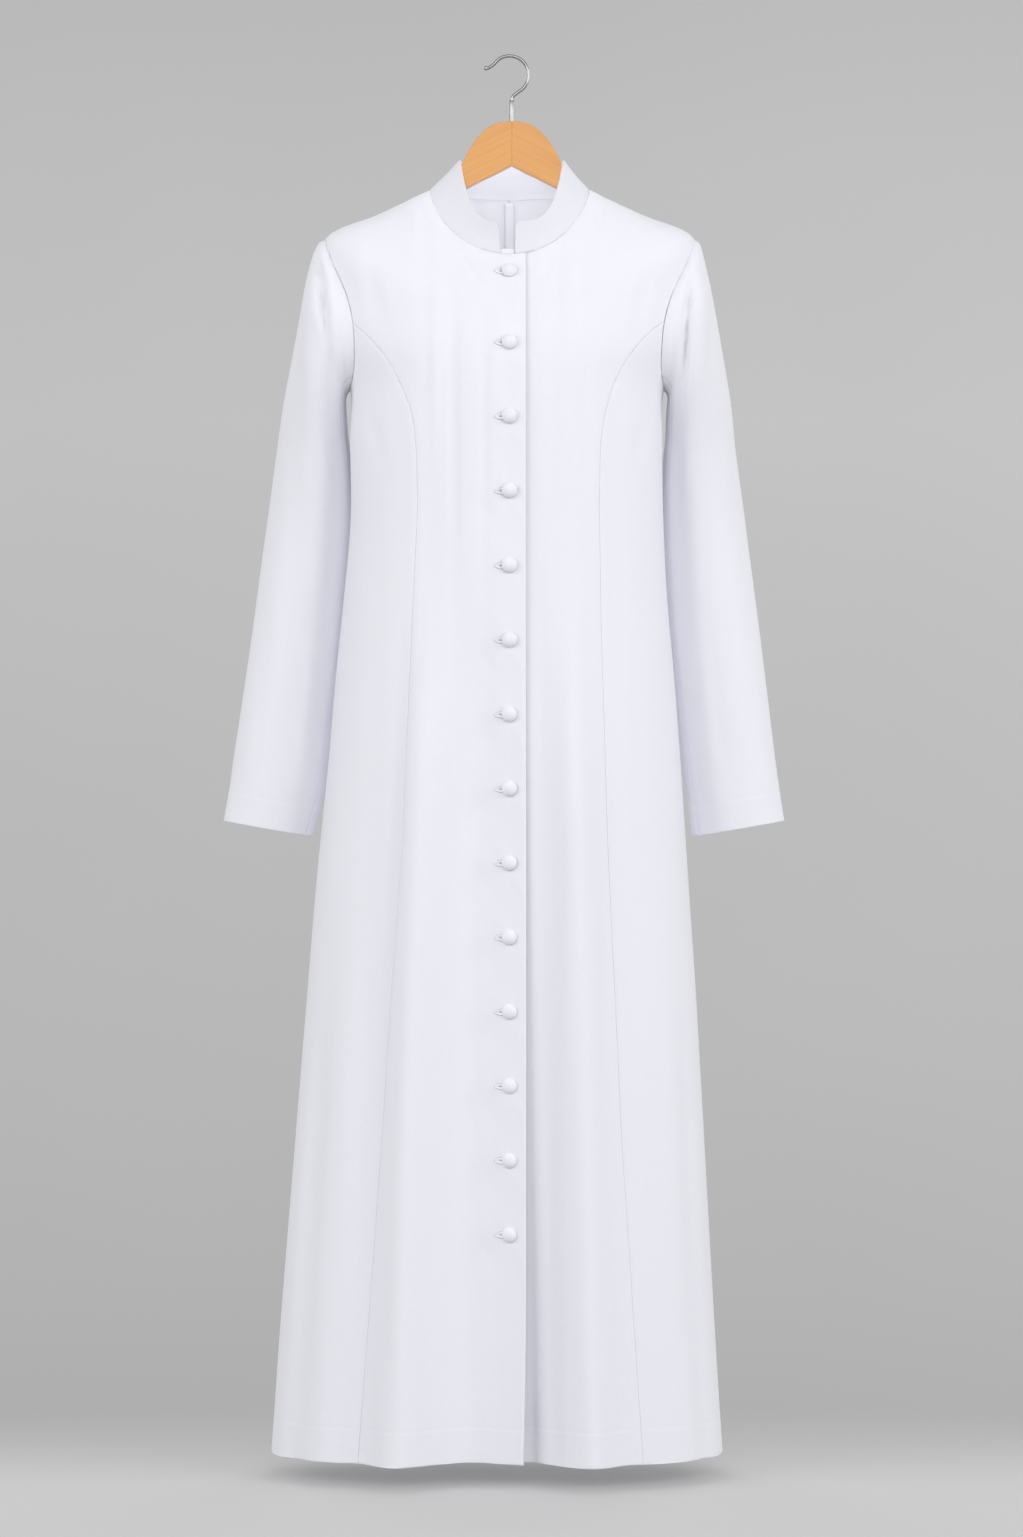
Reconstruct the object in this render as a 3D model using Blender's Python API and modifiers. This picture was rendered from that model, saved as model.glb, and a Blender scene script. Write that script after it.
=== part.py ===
"""White buttoned robe hanging, filled out, on its two-armed wooden hanger.

Metres, +Z up. The front faces -Y and the wearer's right side lies at -X.
The origin is the inside of the hook's crown, where the hook sits on a rail.
"""
import math

import bmesh
import bpy
from mathutils import Vector

# Cloth and seams
CLOTH = 0.0015
HEM_CLOTH = 0.0028
COLLAR_CLOTH = 0.0024
SEAM_GAP = 0.0003
HEM_TURN = 0.036
PANEL_COLUMNS = 12
SIDE_COLUMNS = 4
BACK_COLUMNS = 12
SHARP_ANGLE = math.radians(50)
# Small steps used to find the slope of a surface
ANGLE_STEP = 0.004
RING_STEP = 0.02
TURN_STEP = 0.02
ROW_STEP = 0.1

# Front closing: the wearer's right front laps over the left
LAP_EDGE = 0.0170
LAP_HEM_SWING = 0.0030
LAP_SWING_TOP = -1.20
LAP_SWING_LENGTH = 0.26
LAP_UNDER = 0.0170
LAP_STEP = 0.0022
LAP_FADE = 0.024
LAP_HEM_TOP = -1.385
EDGE_VALLEY_X = 0.022
EDGE_VALLEY_HALF = 0.038
EDGE_VALLEY_TOP = 0.002
EDGE_VALLEY_HEM = 0.029
EDGE_VALLEY_POWER = 2.6
EDGE_VALLEY_START = 0.08

# Buttons
BUTTON_COUNT = 14
BUTTON_RADIUS = 0.0080
BUTTON_TOP_Z = -0.2310
BUTTON_PITCH = 0.0765
BUTTON_GAP = 0.0005
BUTTON_SIDES = 14
# Radius and height of a button and its shank, from the top of the dome to the foot
BUTTON_PROFILE = ((0.0, 0.0070), (0.0034, 0.0064), (0.0060, 0.0049), (0.0076, 0.0030),
                  (BUTTON_RADIUS, 0.0018), (0.0070, 0.0011), (0.0026, 0.0010), (0.0024, 0.0), (0.0, 0.0))

# Armhole, as the angle that it cuts into the front and the back
ARMHOLE_FRONT = math.radians(32.0)
ARMHOLE_BACK = math.radians(27.0)
SIDE_FRONT_TIP = math.radians(0.7)
# Rings of the fronts just below the top of the curved seam; the side front ends at the last one
SEAM_TOP_STEPS = (0.24, 0.12, 0.04)
SLEEVE_STEPS = 12
SLEEVE_FRONT_SEAM = 10
SLEEVE_BACK_SEAM = 5

# Collar
COLLAR_RIGHT_END = 0.0098
COLLAR_LEFT_END = 0.0060
COLLAR_HEIGHT = 0.034
COLLAR_BULGE = -0.0008
COLLAR_RIGHT_CORNER = 0.007
COLLAR_LEFT_CORNER = 0.003
COLLAR_END_LIFT = 0.0006
# Shares of the collar's height for its rows, and of the first column's width near each end
COLLAR_UPS = (0.0, 0.35, 0.7, 1.0)
COLLAR_LEFT_SHARES = (0.0, 0.08, 0.25, 0.55)
COLLAR_RIGHT_SHARES = (0.7, 0.35, 0.12, 0.0)

# Low strip between the collar's ends
FACING_HEIGHT = 0.006
FACING_SIDE = 0.0015
FACING_BACK = 0.0004

# Tape over the centre back seam, which stops short of the collar
TAPE_HALF = 0.005
TAPE_CLOTH = 0.0010
TAPE_STOP = 0.06

# Hanger
JOINT_X = 0.0024
WIRE_RADIUS = 0.0020
HOOK_RADIUS = 0.0200
STEM_BOTTOM = -0.0800
FERRULE_RADIUS = 0.0030
FERRULE_TOP = -0.0450
FERRULE_BOTTOM = -0.0673
FERRULE_EDGE = 0.0003
FERRULE_SIDES = 16
ARM_CLEARANCE = 0.0009
ARM_SIDES = 16
BORE_LENGTH = 0.040
BORE_END = 0.001
# The wire's route from its ball tip to the crown, with shares of its radius, and on to the stem
HOOK_TIP_COLUMNS = ("x", "z", "share")
HOOK_TIP_ROWS = (
    (-0.0268, -0.0108, 0.45),
    (-0.0257, -0.0105, 1.00),
    (-0.0243, -0.0100, 1.15),
    (-0.0225, -0.0088, 1.00),
    (-0.0192, -0.0062, 1.00),
)
CROWN_START = math.radians(138)
CROWN_END = math.radians(-50)
CROWN_STEPS = 18
HOOK_END_COLUMNS = ("x", "z")
HOOK_END_ROWS = (
    (0.0088, -0.0362),
    (0.0054, -0.0386),
    (0.0033, -0.0408),
    (JOINT_X, -0.0434),
    (JOINT_X, -0.0600),
    (JOINT_X, STEM_BOTTOM),
)

# Rings of the body from the hem to the neck. Heights are at the side, centre front and centre
# back; half widths are the wearer's right and left; round is the curve's exponent.
RING_COLUMNS = ("side_z", "front_z", "back_z", "right", "left", "front", "back", "round", "drop")
RING_ROWS = (
    (-1.4616, -1.4616, -1.4616, 0.2494, 0.2231, 0.090, 0.100, 0.87, 1.6),
    (-1.3251, -1.3251, -1.3251, 0.2399, 0.2147, 0.090, 0.099, 0.87, 1.6),
    (-1.1571, -1.1571, -1.1571, 0.2263, 0.2053, 0.090, 0.098, 0.87, 1.6),
    (-0.9891, -0.9891, -0.9891, 0.2126, 0.1958, 0.090, 0.096, 0.87, 1.6),
    (-0.8631, -0.8631, -0.8631, 0.2021, 0.1874, 0.090, 0.094, 0.87, 1.6),
    (-0.7371, -0.7371, -0.7371, 0.1895, 0.1790, 0.090, 0.092, 0.87, 1.6),
    (-0.6531, -0.6531, -0.6531, 0.1822, 0.1727, 0.089, 0.091, 0.87, 1.6),
    (-0.5691, -0.5691, -0.5691, 0.1738, 0.1654, 0.089, 0.090, 0.87, 1.6),
    (-0.4851, -0.4851, -0.4851, 0.1664, 0.1612, 0.090, 0.089, 0.87, 1.6),
    (-0.4011, -0.4011, -0.4011, 0.1670, 0.1601, 0.092, 0.089, 0.87, 1.6),
    (-0.3486, -0.3486, -0.3486, 0.1670, 0.1620, 0.092, 0.089, 0.87, 1.6),
    (-0.2961, -0.3170, -0.3110, 0.1830, 0.1800, 0.089, 0.088, 0.87, 1.6),
    (-0.2437, -0.2860, -0.2730, 0.1910, 0.1900, 0.082, 0.084, 0.87, 1.6),
    (-0.1910, -0.2550, -0.2350, 0.1930, 0.1935, 0.073, 0.077, 0.88, 2.0),
    (-0.1648, -0.2340, -0.1900, 0.1380, 0.1385, 0.063, 0.066, 0.94, 1.9),
    (-0.1386, -0.2130, -0.1412, 0.0835, 0.0835, 0.053, 0.053, 1.00, 1.25),
)
UNDERARM_RING = 10
TIP_RING = 13
NECK_RING = 15
SHOULDER_RINGS = [TIP_RING + 0.5, TIP_RING + 1.0, TIP_RING + 1.5]

# Soft folds: where the crest or trough lies, its half width, its depth at the hem (out is
# positive) and the height where it starts. Angles in degrees from centre front. A fold comes
# in over FOLD_FADE of height, and has FOLD_EARLY of its depth before it grows on to the hem.
FOLD_FADE = 0.30
FOLD_EARLY = 0.65
FOLD_COLUMNS = ("centre", "half_width", "depth", "top_z")
FOLD_ROWS = (
    (-25.0, 11.0, 0.021, -0.50),
    (-6.5, 12.5, -0.021, -0.52),
    (19.6, 11.5, 0.020, -0.52),
    (45.0, 40.0, 0.007, -0.80),
    (-48.0, 11.0, 0.004, -0.80),
    (-63.0, 10.0, -0.004, -0.80),
    (62.0, 10.0, -0.004, -0.85),
    (120.0, 11.0, 0.009, -0.80),
    (139.0, 9.0, -0.009, -0.70),
    (158.0, 10.0, 0.012, -0.65),
    (180.0, 9.0, -0.008, -0.70),
    (-122.0, 11.0, 0.010, -0.78),
    (-141.0, 10.0, -0.008, -0.72),
    (-160.0, 10.0, 0.012, -0.62),
)

# Curved front seams from the armhole to the hem, as distances from centre front
SEAM_COLUMNS = ("z", "right", "left")
SEAM_ROWS = (
    (-1.4616, 0.1562, 0.1365),
    (-1.1243, 0.1309, 0.1145),
    (-0.8204, 0.1088, 0.1012),
    (-0.5956, 0.1001, 0.0945),
    (-0.4733, 0.0945, 0.0925),
    (-0.4115, 0.0961, 0.0937),
    (-0.3795, 0.1002, 0.0985),
    (-0.3500, 0.1118, 0.1075),
    (-0.3235, 0.1258, 0.1211),
    (-0.2990, 0.1463, 0.1401),
    (-0.2810, 0.1660, 0.1610),
    (-0.2600, 0.1980, 0.1960),
)

# Sleeve sections from the armhole to the cuff: the outer and inner ends of each section, how
# far behind the shoulder line its centre hangs, and half its depth from front to back.
SLEEVE_COLUMNS = ("outer_z", "inner_z", "right_outer", "right_inner",
                  "left_outer", "left_inner", "centre_y", "half_depth")
SLEEVE_ROWS = (
    (-0.1910, -0.3486, 0.1930, 0.1670, 0.1935, 0.1620, 0.000, 0.0530),
    (-0.1970, -0.3515, 0.2015, 0.1695, 0.2005, 0.1645, 0.001, 0.0540),
    (-0.2185, -0.3545, 0.2095, 0.1710, 0.2065, 0.1660, 0.003, 0.0550),
    (-0.2435, -0.3590, 0.2160, 0.1720, 0.2120, 0.1665, 0.006, 0.0560),
    (-0.2770, -0.3660, 0.2225, 0.1720, 0.2182, 0.1660, 0.011, 0.0565),
    (-0.3164, -0.3780, 0.2301, 0.1715, 0.2252, 0.1655, 0.018, 0.0560),
    (-0.3620, -0.4000, 0.2390, 0.1700, 0.2337, 0.1645, 0.027, 0.0530),
    (-0.4110, -0.4340, 0.2465, 0.1660, 0.2400, 0.1610, 0.036, 0.0500),
    (-0.4831, -0.4970, 0.2566, 0.1630, 0.2502, 0.1590, 0.044, 0.0460),
    (-0.5677, -0.5850, 0.2682, 0.1700, 0.2608, 0.1640, 0.045, 0.0420),
    (-0.6523, -0.6700, 0.2798, 0.1800, 0.2713, 0.1730, 0.042, 0.0380),
    (-0.7370, -0.7540, 0.2925, 0.1915, 0.2819, 0.1840, 0.038, 0.0330),
    (-0.7700, -0.7860, 0.2975, 0.1995, 0.2865, 0.1890, 0.036, 0.0300),
    (-0.8004, -0.8172, 0.3025, 0.2084, 0.2909, 0.1931, 0.034, 0.0270),
)
SLEEVE_HEM_ROW = 12
SLEEVE_END = 13
SLEEVE_SETTLE = 3.0

# Top edge of the collar
COLLAR_TOP_Z = {"side": -0.1070, "front": -0.1790, "back": -0.1063}
COLLAR_TOP_HALF = {"right": 0.0524, "left": 0.0572}
COLLAR_TOP_DEPTH = {"front": 0.0540, "back": 0.0460}

# Hanger arm from the middle joint outwards: distance from the joint, top, underside and half
# thickness. Where no top is given, it lies just under the cloth of the shoulder.
ARM_COLUMNS = ("across", "top_z", "bottom_z", "half_y")
ARM_ROWS = (
    (0.0000, -0.0672, -0.1133, 0.0062),
    (0.0147, -0.0693, -0.1210, 0.0062),
    (0.0263, -0.0751, -0.1265, 0.0062),
    (0.0360, -0.0845, -0.1314, 0.0062),
    (0.0452, -0.0977, -0.1362, 0.0062),
    (0.0520, -0.1112, -0.1405, 0.0058),
    (0.0570, -0.1230, -0.1440, 0.0058),
    (0.0640, -0.1315, -0.1490, 0.0058),
    (0.0730, -0.1408, -0.1550, 0.0058),
    (0.0835, -0.1490, -0.1650, 0.0058),
    (0.1050, -0.1560, -0.1750, 0.0056),
    (0.1300, None, -0.1855, 0.0050),
    (0.1520, None, -0.1950, 0.0044),
    (0.1680, None, -0.2000, 0.0038),
    (0.1740, -0.1866, -0.2000, 0.0030),
    (0.1770, -0.1890, -0.1970, 0.0022),
)
ARM_ROUND = 0.7


def columns_of(names, rows):
    """Turn a table into one list for each named column."""
    return {name: [row[place] for row in rows] for place, name in enumerate(names)}


RINGS = columns_of(RING_COLUMNS, RING_ROWS)
SLEEVES = columns_of(SLEEVE_COLUMNS, SLEEVE_ROWS)
SEAMS = columns_of(SEAM_COLUMNS, SEAM_ROWS)
FOLDS = [dict(zip(FOLD_COLUMNS, row)) for row in FOLD_ROWS]
ARM = columns_of(ARM_COLUMNS, ARM_ROWS)
HOOK_TIP = columns_of(HOOK_TIP_COLUMNS, HOOK_TIP_ROWS)
HOOK_END = columns_of(HOOK_END_COLUMNS, HOOK_END_ROWS)


def smooth_value(values, place):
    """Value at a fractional row number, on a smooth curve through all the rows."""
    last = len(values) - 1
    index = min(max(int(place), 0), last - 1)
    part = place - index
    here, ahead = values[index], values[index + 1]
    behind = values[index - 1] if index > 0 else 2 * here - ahead
    beyond = values[index + 2] if index + 2 <= last else 2 * ahead - here
    slope_here, slope_ahead = (ahead - behind) / 2, (beyond - here) / 2
    return (here
            + slope_here * part
            + (3 * (ahead - here) - 2 * slope_here - slope_ahead) * part ** 2
            + (2 * (here - ahead) + slope_here + slope_ahead) * part ** 3)


def straight_value(xs, ys, x):
    """Value on straight runs between the points of two matching lists, xs rising."""
    if x <= xs[0]:
        return ys[0]
    for low, high, start, end in zip(xs, xs[1:], ys, ys[1:]):
        if x <= high:
            return start + (end - start) * (x - low) / (high - low)
    return ys[-1]


def hill(distance):
    """A smooth hill: one at zero distance, nothing from one outwards."""
    return 0.5 + 0.5 * math.cos(math.pi * distance) if abs(distance) < 1 else 0.0


def signed_power(value, power):
    return math.copysign(abs(value) ** power, value)


def fold_depth(angle, z):
    """How far the folds push the cloth out at this angle and height."""
    depth = 0.0
    for fold in FOLDS:
        away = (math.degrees(angle) - fold["centre"] + 180) % 360 - 180
        below = fold["top_z"] - z
        start = min(max(below / FOLD_FADE, 0), 1)
        reach = max(below / (fold["top_z"] - RINGS["side_z"][0]), 0)
        strength = start ** 2 * (3 - 2 * start) * (FOLD_EARLY + (1 - FOLD_EARLY) * reach)
        depth += fold["depth"] * strength * hill(away / fold["half_width"])
    return depth


def body_point(angle, ring):
    """Outer face of the body. The angle turns from centre front to the wearer's left."""
    side, ahead = math.sin(angle), math.cos(angle)
    size = {name: smooth_value(values, ring) for name, values in RINGS.items()}
    half = size["left"] if side > 0 else size["right"]
    depth = size["front"] if ahead > 0 else size["back"]
    middle_z = size["front_z"] if ahead > 0 else size["back_z"]
    point = Vector((
        half * signed_power(side, size["round"]),
        -depth * signed_power(ahead, size["round"]),
        size["side_z"] + (middle_z - size["side_z"]) * abs(ahead) ** size["drop"]))
    return point + fold_depth(angle, point.z) * Vector((side ** 3, -ahead, 0))


def under_drop(x, z):
    """How far the left front lies behind the lapping right front, with the trough beside it."""
    fade = 1 - min(max((x - LAP_EDGE - SEAM_GAP) / LAP_FADE, 0), 1)
    low = min(max((LAP_HEM_TOP - z) / HEM_TURN, 0), 1)
    lap = (LAP_STEP + (HEM_CLOTH - CLOTH) * low) * fade * fade * (3 - 2 * fade)
    down = min(max((z - RINGS["front_z"][-1]) / (RINGS["front_z"][0] - RINGS["front_z"][-1]), 0), 1)
    valley = EDGE_VALLEY_TOP + (EDGE_VALLEY_HEM - EDGE_VALLEY_TOP) * down ** EDGE_VALLEY_POWER
    start = min(down / EDGE_VALLEY_START, 1)
    return lap + valley * start * hill((x - EDGE_VALLEY_X) / EDGE_VALLEY_HALF)


def under_point(angle, ring):
    """Outer face of the left front, which the right front laps over."""
    point = body_point(angle, ring)
    drop = under_drop(point.x, point.z)
    if drop == 0:
        return point
    return point - drop * normal_of(body_point, angle, ring, Vector((0, -1, 0.3)))


def ring_at(z, column="front_z", sign=1, lowest=0.0):
    """Ring number where a named column, which rises or falls from the lowest ring up, has a value."""
    low, high = lowest, float(NECK_RING)
    for _ in range(40):
        middle = (low + high) / 2
        if sign * smooth_value(RINGS[column], middle) < sign * z:
            low = middle
        else:
            high = middle
    return low


def angle_at(x, ring):
    """Angle on the front of a ring that lies at this x."""
    half = smooth_value(RINGS["left" if x > 0 else "right"], ring)
    return math.asin(signed_power(min(abs(x) / half, 1), 1 / smooth_value(RINGS["round"], ring))) * (
        1 if x > 0 else -1)


def seam_angle(ring, hand):
    """Angle, as a positive number, of the curved front seam on a ring."""
    sign = 1 if hand == "left" else -1
    angle = math.radians(35)
    for _ in range(12):
        z = body_point(sign * angle, ring).z
        angle = abs(angle_at(sign * straight_value(SEAMS["z"], SEAMS[hand], z), ring))
    return angle


def armhole_angle(ring, cut):
    """Angle of the armhole's edge, measured from the middle of the front or the back."""
    up = min(max((ring - UNDERARM_RING) / (TIP_RING - UNDERARM_RING), 0), 1)
    return math.pi / 2 - cut * math.sqrt(max(4 * up * (1 - up), 0))


def armhole_rings():
    """Ring numbers from the underarm to the shoulder tip, one for each column of the sleeve."""
    span = TIP_RING - UNDERARM_RING
    turns = [math.pi * step / SLEEVE_STEPS for step in range(SLEEVE_STEPS + 1)]
    return [UNDERARM_RING + span * (1 - math.cos(turn)) / 2 for turn in turns]


def armhole_chord(ring, cut):
    """Angle of the armhole's edge where it runs straight from one column of the sleeve to the next."""
    rings = armhole_rings()
    return straight_value(rings, [armhole_angle(each, cut) for each in rings], ring)


def seam_top_ring(hand):
    """Ring number where the curved front seam runs into the armhole."""
    low, high = float(UNDERARM_RING), UNDERARM_RING + 0.6 * (TIP_RING - UNDERARM_RING)
    for _ in range(30):
        middle = (low + high) / 2
        if seam_angle(middle, hand) < armhole_angle(middle, ARMHOLE_FRONT):
            low = middle
        else:
            high = middle
    return low


def normal_of(surface, first, second, outward):
    """Unit normal of a surface function, turned to the side of the given direction."""
    along = surface(first + ANGLE_STEP, second) - surface(first - ANGLE_STEP, second)
    high = min(second + RING_STEP, NECK_RING)
    up = surface(first, high) - surface(first, second - RING_STEP)
    normal = along.cross(up).normalized()
    return normal if normal.dot(outward) > 0 else -normal


def inset_edges(grid):
    """Draw every edge of a grid of points in by half the seam gap."""
    half = SEAM_GAP / 2
    for row in grid:
        row[0] += (row[1] - row[0]).normalized() * half
        row[-1] += (row[-2] - row[-1]).normalized() * half
    for place in range(len(grid[0])):
        grid[0][place] += (grid[1][place] - grid[0][place]).normalized() * half
        grid[-1][place] += (grid[-2][place] - grid[-1][place]).normalized() * half


def skin(name, outer, inner, material):
    """One closed wall between an outer and an inner grid of points."""
    mesh = bpy.data.meshes.new(name)
    work = bmesh.new()
    sheets = [[[work.verts.new(point) for point in row] for row in grid] for grid in (outer, inner)]
    rows, columns = len(outer), len(outer[0])
    for sheet in sheets:
        for row in range(rows - 1):
            for column in range(columns - 1):
                work.faces.new((sheet[row][column], sheet[row][column + 1],
                                sheet[row + 1][column + 1], sheet[row + 1][column]))
    rim = ([(0, column) for column in range(columns)]
           + [(row, columns - 1) for row in range(1, rows)]
           + [(rows - 1, column) for column in range(columns - 2, -1, -1)]
           + [(row, 0) for row in range(rows - 2, 0, -1)])
    for (row, column), (next_row, next_column) in zip(rim, rim[1:] + rim[:1]):
        work.faces.new((sheets[0][row][column], sheets[0][next_row][next_column],
                        sheets[1][next_row][next_column], sheets[1][row][column]))
    return finish_part(name, mesh, work, material)


def add_part(name, mesh, material):
    part = bpy.data.objects.new(name, mesh)
    parts.objects.link(part)
    mesh.materials.clear()
    mesh.materials.append(material)
    return part


def finish_part(name, mesh, work, material):
    """Turn every face outwards, smooth the round stretches and file the part."""
    bmesh.ops.recalc_face_normals(work, faces=work.faces)
    if work.calc_volume(signed=True) < 0:
        bmesh.ops.reverse_faces(work, faces=work.faces)
    work.to_mesh(mesh)
    work.free()
    mesh.shade_smooth()
    mesh.set_sharp_from_angle(angle=SHARP_ANGLE)
    return add_part(name, mesh, material)


def hem_wall(ring):
    """Wall thickness on a ring: the turned-up hem is thicker."""
    return HEM_CLOTH if smooth_value(RINGS["side_z"], ring) < RINGS["side_z"][0] + HEM_TURN else CLOTH


def panel(name, surface, rings, start, end, columns, material):
    """A body panel between two edge curves, each an angle for every ring."""
    outer, normals = [], []
    for ring in rings:
        angles = [start(ring) + (end(ring) - start(ring)) * step / columns
                  for step in range(columns + 1)]
        outer.append([surface(angle, ring) for angle in angles])
        normals.append([normal_of(surface, angle, ring, Vector((math.sin(angle), -math.cos(angle), 0.3)))
                        for angle in angles])
    inset_edges(outer)
    inner = [[point - normal * hem_wall(ring) for point, normal in zip(points, ways)]
             for points, ways, ring in zip(outer, normals, rings)]
    return skin(name, outer, inner, material)


def make_material(name, colour, roughness, metallic=0.0):
    material = bpy.data.materials.new(name)
    material.use_nodes = True
    shader = material.node_tree.nodes["Principled BSDF"]
    shader.inputs["Base Color"].default_value = (*colour, 1.0)
    shader.inputs["Roughness"].default_value = roughness
    shader.inputs["Metallic"].default_value = metallic
    return material


def skirt_rings():
    """Ring numbers from the hem to just under the underarm, with two at the top of the hem."""
    turn = ring_at(RINGS["side_z"][0] + HEM_TURN)
    return [0.0, turn - 0.01, turn + 0.01] + [float(ring) for ring in range(1, UNDERARM_RING)]


def build_body(cloth):
    """The six body panels."""
    for hand, sign in (("right", -1), ("left", 1)):
        top = seam_top_ring(hand)
        rings = skirt_rings() + armhole_rings() + SHOULDER_RINGS + [float(NECK_RING)]
        front_rings = sorted(rings + [top - step for step in SEAM_TOP_STEPS] + [top])
        side_rings = [ring for ring in front_rings if ring < top]
        surface = body_point if hand == "right" else under_point

        def front_edge(ring, sign=sign):
            z = smooth_value(RINGS["front_z"], ring)
            swing = LAP_HEM_SWING * min(max((LAP_SWING_TOP - z) / LAP_SWING_LENGTH, 0), 1)
            x = LAP_EDGE - swing if sign < 0 else -LAP_UNDER
            return angle_at(x, ring)

        def front_side(ring, hand=hand, sign=sign, top=top):
            if ring <= top:
                return sign * seam_angle(ring, hand)
            return sign * armhole_angle(ring, ARMHOLE_FRONT)

        def side_front_inner(ring, hand=hand, sign=sign):
            return sign * seam_angle(ring, hand)

        def side_front_outer(ring, hand=hand, sign=sign):
            least = seam_angle(ring, hand) + SIDE_FRONT_TIP
            return sign * max(armhole_chord(ring, ARMHOLE_FRONT), least)

        def back_side(ring, sign=sign):
            return sign * (math.pi - armhole_angle(ring, ARMHOLE_BACK))

        def back_middle(ring, sign=sign):
            return sign * math.pi

        panel(f"front_{hand}", surface, front_rings, front_edge, front_side, PANEL_COLUMNS, cloth)
        panel(f"side_front_{hand}", body_point, side_rings, side_front_inner, side_front_outer,
              SIDE_COLUMNS, cloth)
        panel(f"back_{hand}", body_point, rings, back_side, back_middle, BACK_COLUMNS, cloth)


def sleeve_section(turn, row, hand):
    """Point of a plain sleeve section. The turn starts at the outer edge and goes forward."""
    size = {name: smooth_value(values, row) for name, values in SLEEVES.items()}
    sign = 1 if hand == "left" else -1
    outer = Vector((sign * size[hand + "_outer"], 0, size["outer_z"]))
    inner = Vector((sign * size[hand + "_inner"], 0, size["inner_z"]))
    centre = (outer + inner) / 2 + Vector((0, size["centre_y"], 0))
    return (centre + (outer - inner) / 2 * math.cos(turn)
            - Vector((0, size["half_depth"] * math.sin(turn), 0)))


def armhole_point(turn, hand, inward=0.0):
    """Point and normal of the body's armhole edge for a turn round the sleeve, or just inside it."""
    sign = 1 if hand == "left" else -1
    up = (1 + math.cos(turn)) / 2
    ring = UNDERARM_RING + (TIP_RING - UNDERARM_RING) * up
    if math.sin(turn) >= 0:
        angle = sign * (armhole_angle(ring, ARMHOLE_FRONT) - inward * math.sin(turn))
    else:
        angle = sign * (math.pi - armhole_angle(ring, ARMHOLE_BACK) - inward * math.sin(turn))
    ring += 5 * inward * math.cos(turn)
    return body_point(angle, ring), normal_of(body_point, angle, ring, Vector((sign, 0, 0.3)))


def sleeve_point(turn, row, hand):
    """Outer face of a sleeve: its section, drawn to the real armhole near the seam."""
    settle = max(1 - row / SLEEVE_SETTLE, 0) ** 2
    point = sleeve_section(turn, row, hand)
    if settle > 0:
        point += (armhole_point(turn, hand)[0] - sleeve_section(turn, 0, hand)) * settle
    return point


def sleeve_start(turn, hand):
    """First point of the sleeve and its wall's direction, hinged on the armhole's edge."""
    edge, normal = armhole_point(turn, hand)
    run = (armhole_point(turn + TURN_STEP, hand)[0] - armhole_point(turn - TURN_STEP, hand)[0]).normalized()
    into_panel = armhole_point(turn, hand, TURN_STEP)[0] - edge
    away = (into_panel.dot(run) * run - into_panel).normalized()
    normal = (normal - normal.dot(run) * run).normalized()
    swing = math.pi / 2 * (1 - math.cos(turn)) / 2
    out = away * math.cos(swing) + normal * math.sin(swing)
    wall_way = normal * math.cos(swing) - away * math.sin(swing)
    return edge + out * SEAM_GAP, wall_way


def build_sleeve(hand, cloth):
    """Upper and under sleeve, cut from one tube at two seams."""
    sign = 1 if hand == "left" else -1
    rows = [0, 0.5, *range(1, SLEEVE_HEM_ROW), SLEEVE_HEM_ROW - 0.01, SLEEVE_HEM_ROW + 0.01, SLEEVE_END]
    step = math.pi / SLEEVE_STEPS
    spans = {
        "upper": range(-SLEEVE_BACK_SEAM, SLEEVE_FRONT_SEAM + 1),
        "under": range(SLEEVE_FRONT_SEAM, 2 * SLEEVE_STEPS - SLEEVE_BACK_SEAM + 1),
    }
    for piece, span in spans.items():
        outer, normals = [], []
        for row in rows:
            low, high = max(row - ROW_STEP, 0), min(row + ROW_STEP, SLEEVE_END)
            ways = []
            for place in span:
                turn = place * step
                along = sleeve_point(turn + TURN_STEP, row, hand) - sleeve_point(turn - TURN_STEP, row, hand)
                down = sleeve_point(turn, high, hand) - sleeve_point(turn, low, hand)
                ways.append(along.cross(down).normalized() * sign)
            outer.append([sleeve_point(place * step, row, hand) for place in span])
            normals.append(ways)
        inset_edges(outer)
        for column, place in enumerate(span):
            outer[0][column], normals[0][column] = sleeve_start(place * step, hand)
        for side, toward in ((0, 1), (-1, -2)):
            outer[0][side] += (outer[0][toward] - outer[0][side]).normalized() * SEAM_GAP / 2
        inner = [[point - normal * (HEM_CLOTH if row > SLEEVE_HEM_ROW else CLOTH)
                  for point, normal in zip(points, ways)]
                 for points, ways, row in zip(outer, normals, rows)]
        skin(f"sleeve_{piece}_{hand}", outer, inner, cloth)


def collar_point(angle, up):
    """Outer face of the collar, from the neck seam (0) to its top edge (1)."""
    base = body_point(angle, NECK_RING)
    side, ahead = math.sin(angle), math.cos(angle)
    half = COLLAR_TOP_HALF["left" if side > 0 else "right"]
    face = "front" if ahead > 0 else "back"
    dip = ahead ** 2 * (3 - 2 * abs(ahead))
    top = Vector((half * side, -COLLAR_TOP_DEPTH[face] * ahead,
                  COLLAR_TOP_Z["side"] + (COLLAR_TOP_Z[face] - COLLAR_TOP_Z["side"]) * dip))
    bulge = Vector((side, -ahead, 0)) * COLLAR_BULGE * math.sin(math.pi * up)
    return base.lerp(top, up) + bulge


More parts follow.
